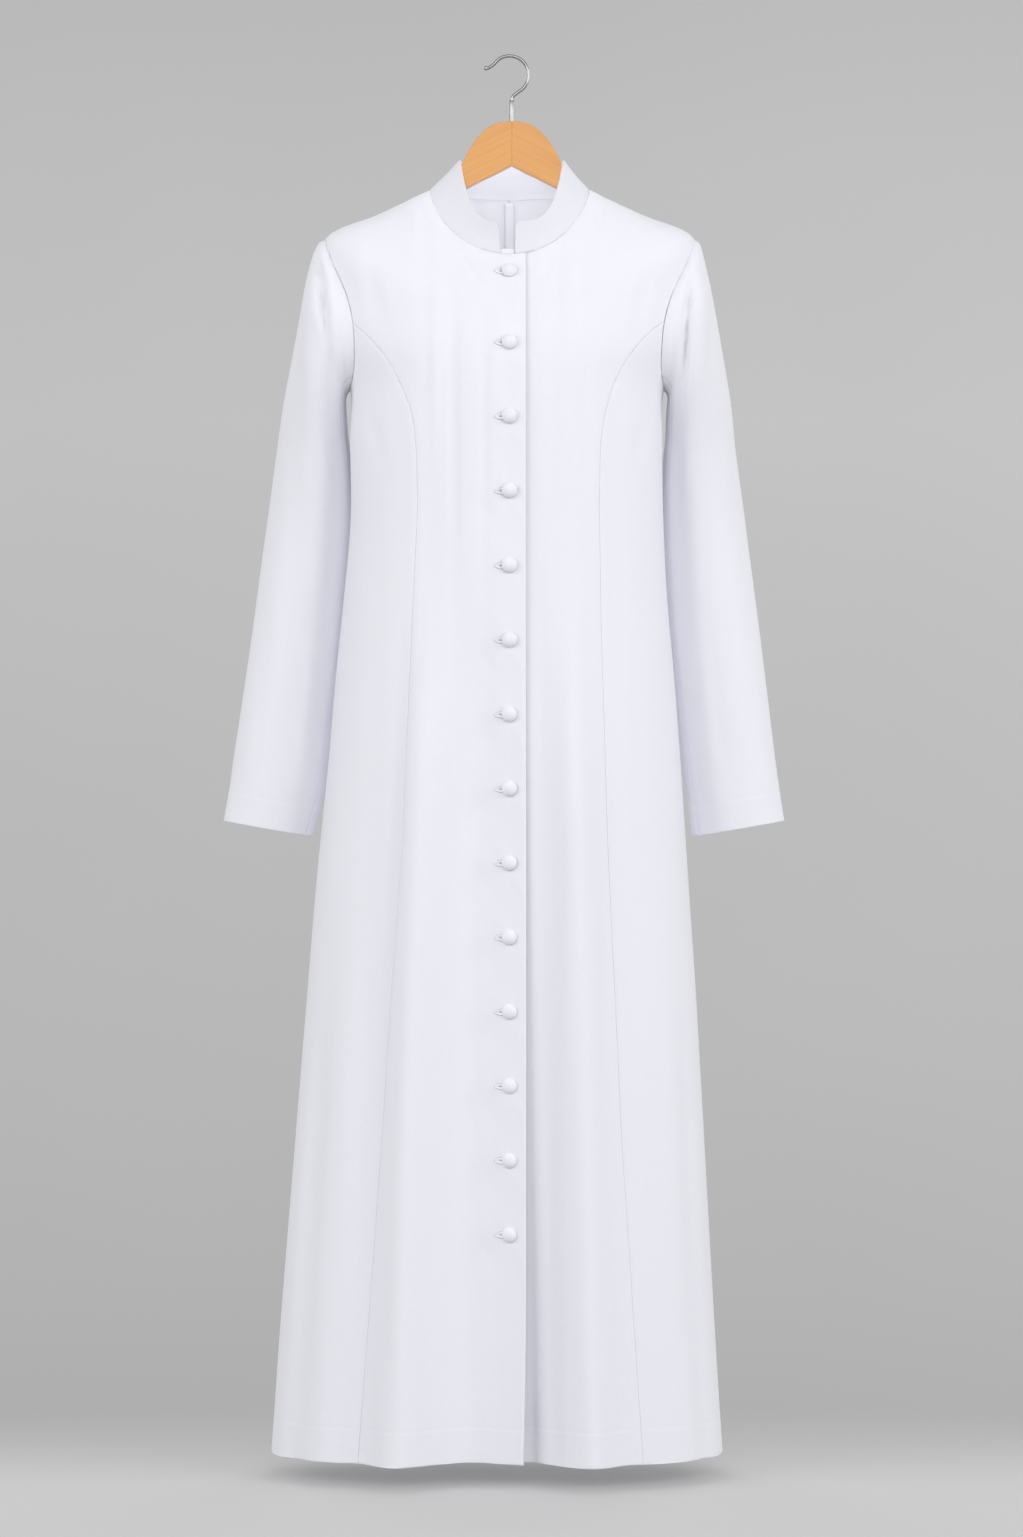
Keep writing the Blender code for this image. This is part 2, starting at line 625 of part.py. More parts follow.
def build_collar(cloth):
    """Stand collar, open at the front, with rounded top corners."""
    neck_half = RINGS["right"][-1]
    lap = angle_at(LAP_EDGE, NECK_RING)
    front_step = (math.pi / 2 + lap) / PANEL_COLUMNS
    front = [front_step * step - lap for step in range(3, PANEL_COLUMNS + 1)]
    back = [math.pi / 2 + math.pi / 2 * step / BACK_COLUMNS for step in range(1, BACK_COLUMNS)]
    half_way = front + back
    middle = half_way + [math.pi] + [2 * math.pi - angle for angle in reversed(half_way)]
    outer, normals = [], []
    for up in COLLAR_UPS:
        half_left = neck_half + (COLLAR_TOP_HALF["left"] - neck_half) * up
        half_right = neck_half + (COLLAR_TOP_HALF["right"] - neck_half) * up
        start = math.asin(COLLAR_LEFT_END / half_left)
        end = 2 * math.pi - math.asin(COLLAR_RIGHT_END / half_right)
        near_start = [start + (middle[0] - start) * share for share in COLLAR_LEFT_SHARES]
        near_end = [end + (middle[-1] - end) * share for share in COLLAR_RIGHT_SHARES]
        points, ways = [], []
        for angle in near_start + middle + near_end:
            from_left, from_right = (angle - start) * neck_half, (end - angle) * neck_half
            cut = 0.0
            for away, corner in ((from_left, COLLAR_LEFT_CORNER), (from_right, COLLAR_RIGHT_CORNER)):
                if away < corner:
                    cut = corner - math.sqrt(corner ** 2 - (corner - away) ** 2)
            low_up = up * (1 - cut / COLLAR_HEIGHT)
            point = collar_point(angle, low_up)
            if up == 0 and angle not in middle:
                point.z += COLLAR_END_LIFT
            points.append(point)
            along = collar_point(angle + TURN_STEP, low_up) - collar_point(angle - TURN_STEP, low_up)
            rise = collar_point(angle, low_up + RING_STEP) - collar_point(angle, low_up - RING_STEP)
            ways.append(along.cross(rise).normalized())
        outer.append(points)
        normals.append(ways)
    inset_edges(outer)
    inner = [[point - normal * COLLAR_CLOTH for point, normal in zip(points, ways)]
             for points, ways in zip(outer, normals)]
    skin("collar", outer, inner, cloth)


def build_neck_facing(cloth):
    """The low strip that shows between the collar's two ends, above the left front."""
    width = COLLAR_RIGHT_END + COLLAR_LEFT_END - 2 * FACING_SIDE
    front_y = -RINGS["front"][-1] + LAP_STEP
    bpy.ops.mesh.primitive_cube_add(size=1, location=(
        (COLLAR_LEFT_END - COLLAR_RIGHT_END) / 2,
        front_y + CLOTH / 2 + FACING_BACK,
        RINGS["front_z"][-1] + SEAM_GAP / 2 + FACING_HEIGHT / 2))
    strip = bpy.context.object
    strip.scale = (width, CLOTH, FACING_HEIGHT)
    bpy.ops.object.transform_apply(location=False, rotation=False, scale=True)
    adopt(strip, "neck_facing", cloth)


def build_back_tape(cloth):
    """Tape pressed over the centre back seam, inside the robe."""
    rings = skirt_rings()[2:] + armhole_rings()[::2] + SHOULDER_RINGS + [NECK_RING - TAPE_STOP]
    outer, inner = [], []
    for ring in rings:
        faces, backs = [], []
        for side in (-1, 0, 1):
            half = smooth_value(RINGS["right"], ring)
            angle = math.pi + side * math.asin((TAPE_HALF / half) ** (1 / smooth_value(RINGS["round"], ring)))
            point = body_point(angle, ring)
            normal = normal_of(body_point, angle, ring, Vector((0, 1, 0.3)))
            faces.append(point - normal * (hem_wall(ring) + 2 * SEAM_GAP))
            backs.append(point - normal * (hem_wall(ring) + 2 * SEAM_GAP + TAPE_CLOTH))
        outer.append(faces)
        inner.append(backs)
    skin("back_seam_tape", outer, inner, cloth)


def adopt(thing, name, material):
    """Name an object made by an operator, give it its material and file it with the parts."""
    thing.name = name
    thing.data.name = name
    for home in list(thing.users_collection):
        home.objects.unlink(thing)
    parts.objects.link(thing)
    thing.data.materials.clear()
    thing.data.materials.append(material)
    return thing


def turned(name, profile, steps, material):
    """A turned piece about +Z from a profile of (radius, height), top to bottom."""
    mesh = bpy.data.meshes.new(name)
    mesh.from_pydata([(radius, 0, height) for radius, height in profile],
                     [(place, place + 1) for place in range(len(profile) - 1)], [])
    piece = add_part(name, mesh, material)
    screw = piece.modifiers.new("turn", "SCREW")
    screw.steps = steps
    screw.render_steps = steps
    screw.use_merge_vertices = True
    screw.merge_threshold = 0.00001
    screw.use_smooth_shade = True
    return piece


def build_buttons(cloth):
    """Cloth-covered domes on short shanks, square to the flat stretch of front that they close."""
    rows = skirt_rings() + armhole_rings() + SHOULDER_RINGS + [NECK_RING]
    for number in range(BUTTON_COUNT):
        z = BUTTON_TOP_Z - number * BUTTON_PITCH
        ring = ring_at(z)
        low, high = [(low, high) for low, high in zip(rows, rows[1:]) if low <= ring][-1]
        below, above = body_point(0.0, low), body_point(0.0, high)
        seat = below.lerp(above, (z - below.z) / (above.z - below.z))
        normal = normal_of(body_point, 0.0, ring, Vector((0, -1, 0)))
        button = turned(f"button_{number + 1:02d}", BUTTON_PROFILE, BUTTON_SIDES, cloth)
        button.location = seat + normal * BUTTON_GAP
        button.rotation_mode = "QUATERNION"
        button.rotation_quaternion = normal.to_track_quat("Z", "Y")


def shoulder_underside(x):
    """Height of the cloth's inner face along the shoulder seam."""
    ring = ring_at(abs(x), "right", -1, float(TIP_RING))
    slope = (RINGS["side_z"][-1] - RINGS["side_z"][TIP_RING]) / (RINGS["right"][TIP_RING] - RINGS["right"][-1])
    return body_point(math.pi / 2, ring).z - CLOTH * math.hypot(1, slope)


def build_arms(wood, cutter):
    """The two glued halves of the wooden hanger, with a bore for the hook's stem."""
    for hand, sign in (("right", -1), ("left", 1)):
        grid = []
        for across, top, bottom, thick in zip(*ARM.values()):
            x = JOINT_X + sign * (across + SEAM_GAP / 2)
            if top is None:
                top = shoulder_underside(x) - ARM_CLEARANCE
            ring = []
            for step in range(ARM_SIDES):
                turn = 2 * math.pi * (step + 0.5) / ARM_SIDES
                ring.append(Vector((
                    x, thick * signed_power(math.sin(turn), ARM_ROUND),
                    (top + bottom) / 2 + (top - bottom) / 2 * signed_power(math.cos(turn), ARM_ROUND))))
            grid.append(ring)
        mesh = bpy.data.meshes.new(f"hanger_arm_{hand}")
        work = bmesh.new()
        rings = [[work.verts.new(point) for point in ring] for ring in grid]
        for near, far in zip(rings, rings[1:]):
            for step in range(ARM_SIDES):
                after = (step + 1) % ARM_SIDES
                work.faces.new((near[step], near[after], far[after], far[step]))
        work.faces.new(rings[0])
        work.faces.new(rings[-1])
        arm = finish_part(f"hanger_arm_{hand}", mesh, work, wood)
        bore = arm.modifiers.new("bore", "BOOLEAN")
        bore.object = cutter
        bore.operation = "DIFFERENCE"


def hook_route():
    """Points of the hook's wire from its ball tip over the crown and down the stem."""
    centre = Vector((0, 0, WIRE_RADIUS - HOOK_RADIUS))
    points = [Vector((x, 0, z)) for x, z in zip(HOOK_TIP["x"], HOOK_TIP["z"])]
    for step in range(CROWN_STEPS + 1):
        turn = CROWN_START + (CROWN_END - CROWN_START) * step / CROWN_STEPS
        points.append(centre + HOOK_RADIUS * Vector((math.cos(turn), 0, math.sin(turn))))
    return points + [Vector((x, 0, z)) for x, z in zip(HOOK_END["x"], HOOK_END["z"])]


def build_hook(steel):
    """Bent wire hook with a small ball tip, and the ferrule on its stem."""
    curve = bpy.data.curves.new("hanger_hook", "CURVE")
    curve.dimensions = "3D"
    curve.bevel_depth = WIRE_RADIUS
    curve.bevel_resolution = 2
    curve.use_fill_caps = True
    route = hook_route()
    spline = curve.splines.new("POLY")
    spline.points.add(len(route) - 1)
    for place, point in enumerate(route):
        spline.points[place].co = (*point, 1.0)
    for place, share in enumerate(HOOK_TIP["share"]):
        spline.points[place].radius = share
    hook = bpy.data.objects.new("hanger_hook", curve)
    parts.objects.link(hook)
    curve.materials.append(steel)
    inner, top, bottom = WIRE_RADIUS + SEAM_GAP, FERRULE_TOP, FERRULE_BOTTOM
    profile = ((inner, bottom), (inner, top), (FERRULE_RADIUS - FERRULE_EDGE, top),
               (FERRULE_RADIUS, top - 2 * FERRULE_EDGE), (FERRULE_RADIUS, bottom), (inner, bottom))
    ferrule = turned("hook_ferrule", profile, FERRULE_SIDES, steel)
    ferrule.location.x = JOINT_X


def build_bore():
    """Cutter for the stem's bore in the head of the hanger."""
    bpy.ops.mesh.primitive_cylinder_add(
        vertices=ARM_SIDES, radius=WIRE_RADIUS + SEAM_GAP, depth=BORE_LENGTH,
        location=(JOINT_X, 0, STEM_BOTTOM - BORE_END + BORE_LENGTH / 2))
    cutter = bpy.context.object
    cutter.name = "stem_bore"
    for home in list(cutter.users_collection):
        home.objects.unlink(cutter)
    cutters.objects.link(cutter)
    cutter.hide_render = True
    cutter.display_type = "WIRE"
    return cutter


for thing in list(bpy.data.objects):
    bpy.data.objects.remove(thing, do_unlink=True)
parts = bpy.data.collections.new("clergy_robe")
cutters = bpy.data.collections.new("cutters")
bpy.context.scene.collection.children.link(parts)
bpy.context.scene.collection.children.link(cutters)

white_cloth = make_material("white_cloth", (0.86, 0.86, 0.90), 0.8)
honey_wood = make_material("honey_wood", (0.80, 0.50, 0.24), 0.35)
bright_steel = make_material("bright_steel", (0.75, 0.75, 0.77), 0.2, 1.0)

build_body(white_cloth)
for wearer_hand in ("right", "left"):
    build_sleeve(wearer_hand, white_cloth)
build_collar(white_cloth)
build_neck_facing(white_cloth)
build_back_tape(white_cloth)
build_buttons(white_cloth)
build_arms(honey_wood, build_bore())
build_hook(bright_steel)
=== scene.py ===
# %% [markdown]
# # A white buttoned robe on its wooden hanger
#
# This lesson dresses a long white robe that hangs, filled out, on a two-armed wooden hanger. It has
# a stand collar, curved front seams from the armholes to the hem, two-piece sleeves and fourteen
# cloth-covered buttons down the front.
#
# Everything is in metres. The front looks along -Y, +Z is up, and the origin is the inside of the
# hook's crown, where the hook sits on its rail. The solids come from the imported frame. Each piece
# here takes the place of one of them and keeps to its form, with finer cloth, seams and wood.

# %% Load the frame
import math

import bmesh
import bpy
import numpy as np
from mathutils import Matrix, Vector


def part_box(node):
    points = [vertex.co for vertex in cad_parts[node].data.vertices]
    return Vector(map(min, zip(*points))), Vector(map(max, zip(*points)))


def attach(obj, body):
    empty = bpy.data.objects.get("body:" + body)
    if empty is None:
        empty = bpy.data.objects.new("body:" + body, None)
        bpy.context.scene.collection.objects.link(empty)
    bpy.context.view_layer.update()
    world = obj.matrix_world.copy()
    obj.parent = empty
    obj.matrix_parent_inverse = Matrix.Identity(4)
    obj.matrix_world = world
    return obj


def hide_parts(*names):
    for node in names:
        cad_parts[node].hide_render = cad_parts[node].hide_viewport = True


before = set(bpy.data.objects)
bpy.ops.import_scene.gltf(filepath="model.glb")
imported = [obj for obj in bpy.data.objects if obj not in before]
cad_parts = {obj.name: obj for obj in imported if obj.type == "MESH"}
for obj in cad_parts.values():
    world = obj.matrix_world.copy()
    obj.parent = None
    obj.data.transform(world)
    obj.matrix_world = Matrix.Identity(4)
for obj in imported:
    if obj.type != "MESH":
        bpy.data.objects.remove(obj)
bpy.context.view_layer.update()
BODY = "root"
SIGNS = {"right": -1, "left": 1}


def add_object(name, data):
    """A new object in the scene, at the origin."""
    thing = bpy.data.objects.new(name, data)
    bpy.context.scene.collection.objects.link(thing)
    return thing


def mesh_from(name, work):
    """A mesh from a bmesh, which is freed."""
    mesh = bpy.data.meshes.new(name)
    work.to_mesh(mesh)
    work.free()
    return mesh


# %% [markdown]
# ## Camera
#
# The photograph was taken square on, from far enough away that the robe hardly spreads with depth.
# A long lens about four metres off, level with the middle of the picture, gives the same view.

# %% Camera
CAMERA_PLACE = (0.0021, -4.0, -0.746)
CAMERA_LENS = 89.24
CAMERA_SENSOR = 36.0

camera_data = bpy.data.cameras.new("camera")
camera_data.sensor_fit = "VERTICAL"
camera_data.sensor_height = CAMERA_SENSOR
camera_data.lens = CAMERA_LENS
camera = add_object("camera", camera_data)
camera.location = CAMERA_PLACE
camera.rotation_euler = (math.radians(90), 0, 0)
bpy.context.scene.camera = camera
print("camera at", CAMERA_PLACE)

# %% [markdown]
# ## Small helpers for materials
#
# A finish is a short chain of nodes. These helpers add a node and join it up, so that each
# material below reads as a list of what it is made of.


# %% Material helpers
def new_material(name, colour, roughness, **sockets):
    """A material with its plain values set straight on the shader."""
    material = bpy.data.materials.new(name)
    material.use_nodes = True
    shader = material.node_tree.nodes["Principled BSDF"]
    shader.inputs["Base Color"].default_value = (*colour, 1.0)
    shader.inputs["Roughness"].default_value = roughness
    for socket, value in sockets.items():
        shader.inputs[socket.replace("_", " ")].default_value = value
    return material


def add_node(material, kind, inputs=None, **settings):
    """A node with its settings, and its inputs from values or from other nodes' sockets."""
    node = material.node_tree.nodes.new(kind)
    for setting, value in settings.items():
        setattr(node, setting, value)
    for socket, value in (inputs or {}).items():
        if isinstance(value, bpy.types.NodeSocket):
            material.node_tree.links.new(value, node.inputs[socket])
        else:
            node.inputs[socket].default_value = value
    return node


def own_place(material):
    """The place on the piece itself, in metres, for a pattern to follow."""
    return add_node(material, "ShaderNodeTexCoord").outputs["Object"]


def add_noise(material, place, scale, **inputs):
    """The grey of a noise texture at a place."""
    inputs.update(Vector=place, Scale=scale)
    return add_node(material, "ShaderNodeTexNoise", inputs).outputs["Fac"]


def stretched(material, place, scale):
    """A place with its three directions stretched or squeezed."""
    return add_node(material, "ShaderNodeMapping", {"Vector": place, "Scale": scale}).outputs["Vector"]


def colour_ramp(material, factor, stops):
    """A colour ramp from stops of (place, colour)."""
    ramp = add_node(material, "ShaderNodeValToRGB", {"Fac": factor})
    elements = ramp.color_ramp.elements
    while len(elements) < len(stops):
        elements.new(0.5)
    for element, (place, colour) in zip(elements, stops):
        element.position = place
        element.color = (*colour, 1.0)
    return ramp.outputs["Color"]


def into_shader(material, socket, source):
    shader = material.node_tree.nodes["Principled BSDF"]
    material.node_tree.links.new(source, shader.inputs[socket])


def colour_by(material, factor, *stops):
    """Base colour from a ramp."""
    into_shader(material, "Base Color", colour_ramp(material, factor, stops))


def add_bump(material, height, strength, distance):
    """Relief from a height socket into the shader's normal."""
    bump = add_node(material, "ShaderNodeBump", {"Height": height, "Strength": strength,
                                                 "Distance": distance})
    into_shader(material, "Normal", bump.outputs["Normal"])


# %% [markdown]
# ## White cloth
#
# The robe is a light suiting: a fine plain weave, matt, very slightly blue in its white. Threads
# under half a millimetre apart are far finer than a pixel of the whole robe, but they show in a
# close view, so they are two crossed wave patterns on the cloth's own UV map, which is in metres
# along and across each piece. A slow noise gives the faint cloudiness that pressed cloth has. The
# collar's cloth is made a little darker all over, painted shade for the soft shade under its rolled
# top, and the discs over the buttons have no UV map, so their weave follows the robe's own X and Z.

# %% Cloth materials
CLOTH_WHITE = (0.845, 0.842, 0.905)
CLOTH_SHADE = (0.834, 0.831, 0.896)
THREADS_A_METRE = 2400.0
WAVE_SCALE = math.tau / 20.0
SLUB_SCALE, CLOUD_SCALE = 420.0, 260.0


def make_cloth(name, relief, share=1.0, ways="XY"):
    """Fine woven cloth in a share of the robe's white, on the UV map or on the piece's X and Z."""
    white, shade = ([part * share for part in colour] for colour in (CLOTH_WHITE, CLOTH_SHADE))
    cloth = new_material(name, white, 0.86, Sheen_Weight=0.25, Sheen_Roughness=0.45,
                         Specular_IOR_Level=0.22)
    if ways == "XY":
        flat = add_node(cloth, "ShaderNodeUVMap", uv_map="cloth").outputs["UV"]
    else:
        flat = own_place(cloth)
    waves = [add_node(cloth, "ShaderNodeTexWave", {
        "Vector": flat, "Scale": THREADS_A_METRE * WAVE_SCALE, "Distortion": 0.6, "Detail": 1.0,
        "Detail Scale": 2.0}, wave_type="BANDS", bands_direction=way).outputs["Fac"] for way in ways]
    weave = add_node(cloth, "ShaderNodeMath", {0: waves[0], 1: waves[1]}, operation="MULTIPLY")
    slub = add_noise(cloth, flat, SLUB_SCALE, Detail=4.0, Roughness=0.6)
    height = add_node(cloth, "ShaderNodeMath", {0: weave.outputs[0], 1: slub}, operation="ADD")
    add_bump(cloth, height.outputs[0], relief, 0.00012)
    cloudy = add_noise(cloth, flat, CLOUD_SCALE, Detail=5.0, Roughness=0.65)
    colour_by(cloth, cloudy, (0.36, shade), (0.62, white))
    return cloth


robe_cloth = make_cloth("white suiting", 0.35)
# The collar's cloth is 0.94 of the robe's white all over: painted shade for the shade under its rolled top
collar_cloth_painted_shade = make_cloth("fused collar cloth", 0.35, 0.94)
button_cloth = make_cloth("button covering", 0.25, ways="XZ")
# A grey line round the outside of each buttonhole's stitching: painted shadow beside the raised thread
painted_shadow_line = new_material("buttonhole gimp", (0.50, 0.50, 0.55), 0.70, Sheen_Weight=0.2)
colour_by(painted_shadow_line, add_noise(painted_shadow_line, own_place(painted_shadow_line), 1500.0),
          (0.3, (0.46, 0.46, 0.51)), (0.7, (0.56, 0.56, 0.61)))
thread = new_material("buttonhole thread", (0.92, 0.92, 0.96), 0.50, Sheen_Weight=0.3)
add_bump(thread, add_noise(thread, own_place(thread), 2400.0, Detail=2.0), 0.3, 0.0001)
# Dark sheet in each buttonhole's slit: painted shade for the gap
slit_painted_shade = new_material("buttonhole slot", (0.30, 0.30, 0.33), 0.9)
colour_by(slit_painted_shade, add_noise(slit_painted_shade, own_place(slit_painted_shade), 900.0),
          (0.3, (0.30, 0.30, 0.33)), (0.7, (0.42, 0.42, 0.46)))
print("cloth materials:", robe_cloth.name, button_cloth.name, thread.name, slit_painted_shade.name)

# %% [markdown]
# ## Wood and steel
#
# The hanger is pale beech under a clear satin varnish. Its two halves are cut with the grain along
# each arm, so the grain meets in a chevron at the glued joint. A noise that is stretched along the
# arm gives the streaks, and a finer one the short dark flecks that beech has. The hook is bright
# nickelled wire.

# %% Wood and steel materials
GRAIN_SLOPE = 27.0
FLECK_SHARE = 0.14


def make_wood(name, slope):
    """Varnished beech with its grain turned by slope degrees about Y."""
    wood = new_material(name, (0.66, 0.30, 0.066), 0.40, Coat_Weight=0.50, Coat_Roughness=0.12,
                        Specular_IOR_Level=0.25)
    turned = add_node(wood, "ShaderNodeMapping", {
        "Vector": own_place(wood), "Rotation": (0.0, math.radians(slope), 0.0)}).outputs["Vector"]
    streaks = add_noise(wood, stretched(wood, turned, (9.0, 90.0, 420.0)), 1.0, Detail=8.0,
                        Roughness=0.62, Distortion=0.4)
    flecks = add_noise(wood, stretched(wood, turned, (120.0, 700.0, 1100.0)), 1.0, Detail=2.0)
    both = add_node(wood, "ShaderNodeMath", {0: flecks, 1: FLECK_SHARE, 2: streaks},
                    operation="MULTIPLY_ADD")
    colour_by(wood, both.outputs[0], (0.36, (0.620, 0.262, 0.052)), (0.56, (0.670, 0.302, 0.066)),
              (0.78, (0.705, 0.335, 0.080)))
    add_bump(wood, streaks, 0.05, 0.0003)
    return wood


wood_right = make_wood("beech right arm", GRAIN_SLOPE)
wood_left = make_wood("beech left arm", -GRAIN_SLOPE)
steel = new_material("nickelled wire", (0.34, 0.34, 0.35), 0.20, Metallic=1.0)
steel_noise = add_noise(steel, own_place(steel), 160.0, Detail=3.0)
into_shader(steel, "Roughness", add_node(steel, "ShaderNodeMapRange", {
    "Value": steel_noise, "To Min": 0.17, "To Max": 0.22}).outputs["Result"])
colour_by(steel, steel_noise, (0.3, (0.32, 0.32, 0.33)), (0.7, (0.36, 0.36, 0.37)))
print("hanger materials:", wood_right.name, wood_left.name, steel.name)

# %% [markdown]
# ## The robe's sizes
#
# The body is a stack of rings from the hem to the neck. A ring gives the height at the side, the
# centre front and the centre back, the half widths of the wearer's right and left, and the depths
# of front and back. A point on the cloth is then an angle, from centre front to the wearer's left,
# and a ring number that may lie between two rings. The sleeves are stacks of sections in the same
# way. These are the sizes that the solids are made from, so the finer cloth lies where they do.

# %% Size tables
RING_COLUMNS = ("side_z", "front_z", "back_z", "right", "left", "front", "back", "round", "drop")
RING_ROWS = (
    (-1.4616, -1.4616, -1.4616, 0.2494, 0.2231, 0.090, 0.100, 0.87, 1.6),
    (-1.3251, -1.3251, -1.3251, 0.2399, 0.2147, 0.090, 0.099, 0.87, 1.6),
    (-1.1571, -1.1571, -1.1571, 0.2263, 0.2053, 0.090, 0.098, 0.87, 1.6),
    (-0.9891, -0.9891, -0.9891, 0.2126, 0.1958, 0.090, 0.096, 0.87, 1.6),
    (-0.8631, -0.8631, -0.8631, 0.2021, 0.1874, 0.090, 0.094, 0.87, 1.6),
    (-0.7371, -0.7371, -0.7371, 0.1895, 0.1790, 0.090, 0.092, 0.87, 1.6),
    (-0.6531, -0.6531, -0.6531, 0.1822, 0.1727, 0.089, 0.091, 0.87, 1.6),
    (-0.5691, -0.5691, -0.5691, 0.1738, 0.1654, 0.089, 0.090, 0.87, 1.6),
    (-0.4851, -0.4851, -0.4851, 0.1664, 0.1612, 0.090, 0.089, 0.87, 1.6),
    (-0.4011, -0.4011, -0.4011, 0.1670, 0.1601, 0.092, 0.089, 0.87, 1.6),
    (-0.3486, -0.3486, -0.3486, 0.1670, 0.1620, 0.092, 0.089, 0.87, 1.6),
    (-0.2961, -0.3170, -0.3110, 0.1830, 0.1800, 0.089, 0.088, 0.87, 1.6),
    (-0.2437, -0.2860, -0.2730, 0.1910, 0.1900, 0.082, 0.084, 0.87, 1.6),
    (-0.1910, -0.2550, -0.2350, 0.1930, 0.1935, 0.073, 0.077, 0.88, 2.0),
    (-0.1648, -0.2340, -0.1900, 0.1380, 0.1385, 0.063, 0.066, 0.94, 1.9),
    (-0.1386, -0.2130, -0.1412, 0.0835, 0.0835, 0.053, 0.053, 1.00, 1.25),
)
UNDERARM_RING, TIP_RING, NECK_RING = 10, 13, 15

# Folds of the skirt: where each crest or trough lies in degrees from centre front, its half
# width, its depth at the hem and the height where it starts
FOLD_FADE, FOLD_EARLY = 0.30, 0.65
FOLD_COLUMNS = ("centre", "half_width", "depth", "top_z")
FOLD_ROWS = (
    (-25.0, 11.0, 0.021, -0.50),
    (-6.5, 12.5, -0.021, -0.52),
    (19.6, 11.5, 0.020, -0.52),
    (45.0, 40.0, 0.007, -0.80),
    (-48.0, 11.0, 0.004, -0.80),
    (-63.0, 10.0, -0.004, -0.80),
    (62.0, 10.0, -0.004, -0.85),
    (120.0, 11.0, 0.009, -0.80),
    (139.0, 9.0, -0.009, -0.70),
    (158.0, 10.0, 0.012, -0.65),
    (180.0, 9.0, -0.008, -0.70),
    (-122.0, 11.0, 0.010, -0.78),
    (-141.0, 10.0, -0.008, -0.72),
    (-160.0, 10.0, 0.012, -0.62),
)

# Curved front seams, as distances from centre front
SEAM_COLUMNS = ("z", "right", "left")
SEAM_ROWS = (
    (-1.4616, 0.1562, 0.1365),
    (-1.1243, 0.1309, 0.1145),
    (-0.8204, 0.1088, 0.1012),
    (-0.5956, 0.1001, 0.0945),
    (-0.4733, 0.0945, 0.0925),
    (-0.4115, 0.0961, 0.0937),
    (-0.3795, 0.1002, 0.0985),
    (-0.3500, 0.1118, 0.1075),
    (-0.3235, 0.1258, 0.1211),
    (-0.2990, 0.1463, 0.1401),
    (-0.2810, 0.1660, 0.1610),
    (-0.2600, 0.1980, 0.1960),
)

# Sleeve sections: the outer and inner ends, how far behind the shoulder line the centre hangs,
# and half the depth from front to back
SLEEVE_COLUMNS = ("outer_z", "inner_z", "right_outer", "right_inner",
                  "left_outer", "left_inner", "centre_y", "half_depth")
SLEEVE_ROWS = (
    (-0.1910, -0.3486, 0.1930, 0.1670, 0.1935, 0.1620, 0.000, 0.0530),
    (-0.1970, -0.3515, 0.2015, 0.1695, 0.2005, 0.1645, 0.001, 0.0540),
    (-0.2185, -0.3545, 0.2095, 0.1710, 0.2065, 0.1660, 0.003, 0.0550),
    (-0.2435, -0.3590, 0.2160, 0.1720, 0.2120, 0.1665, 0.006, 0.0560),
    (-0.2770, -0.3660, 0.2225, 0.1720, 0.2182, 0.1660, 0.011, 0.0565),
    (-0.3164, -0.3780, 0.2301, 0.1715, 0.2252, 0.1655, 0.018, 0.0560),
    (-0.3620, -0.4000, 0.2390, 0.1700, 0.2337, 0.1645, 0.027, 0.0530),
    (-0.4110, -0.4340, 0.2465, 0.1660, 0.2400, 0.1610, 0.036, 0.0500),
    (-0.4831, -0.4970, 0.2566, 0.1630, 0.2502, 0.1590, 0.044, 0.0460),
    (-0.5677, -0.5850, 0.2682, 0.1700, 0.2608, 0.1640, 0.045, 0.0420),
    (-0.6523, -0.6700, 0.2798, 0.1800, 0.2713, 0.1730, 0.042, 0.0380),
    (-0.7370, -0.7540, 0.2925, 0.1915, 0.2819, 0.1840, 0.038, 0.0330),
    (-0.7700, -0.7860, 0.2975, 0.1995, 0.2865, 0.1890, 0.036, 0.0300),
    (-0.8004, -0.8172, 0.3025, 0.2084, 0.2909, 0.1931, 0.034, 0.0270),
)
SLEEVE_END, SLEEVE_SETTLE = 13, 3.0
ARMHOLE_FRONT, ARMHOLE_BACK = math.radians(32.0), math.radians(27.0)
SLEEVE_FRONT_SEAM, SLEEVE_BACK_SEAM = math.pi * 10 / 12, math.pi * 5 / 12


def columns_of(names, rows):
    """One list for each named column of a table."""
    return {name: np.array([row[place] for row in rows]) for place, name in enumerate(names)}


RINGS = columns_of(RING_COLUMNS, RING_ROWS)
SLEEVES = columns_of(SLEEVE_COLUMNS, SLEEVE_ROWS)
SEAMS = columns_of(SEAM_COLUMNS, SEAM_ROWS)
FOLDS = [dict(zip(FOLD_COLUMNS, row)) for row in FOLD_ROWS]
HEM_Z = RINGS["side_z"][0]
print("rings:", len(RING_ROWS), "folds:", len(FOLDS), "sleeve sections:", len(SLEEVE_ROWS))

# %% [markdown]
# ## From tables to a surface
#
# Between two rings a size follows a smooth curve, so the cloth has no steps. The functions here
# take whole arrays of angles and rings at once. The crest and trough of each fold are added as
# soft hills, square to the body.

# %% Surface helpers
TURN_STEP, RING_STEP = 0.004, 0.02
RADIAL_RISE, HEM_PLACES = 0.3, 721


def rows_value(values, place):
    """Values at fractional row numbers, on a smooth curve through all the rows."""
    last = len(values) - 1
    index = np.clip(np.floor(place).astype(int), 0, last - 1)
    part = place - index
    ends = np.concatenate(([2 * values[0] - values[1]], values, [2 * values[-1] - values[-2]]))
    behind, here, ahead, beyond = (ends[index + step] for step in range(4))
    slope_here, slope_ahead = (ahead - behind) / 2, (beyond - here) / 2
    return (here + slope_here * part
            + (3 * (ahead - here) - 2 * slope_here - slope_ahead) * part ** 2
            + (2 * (here - ahead) + slope_here + slope_ahead) * part ** 3)


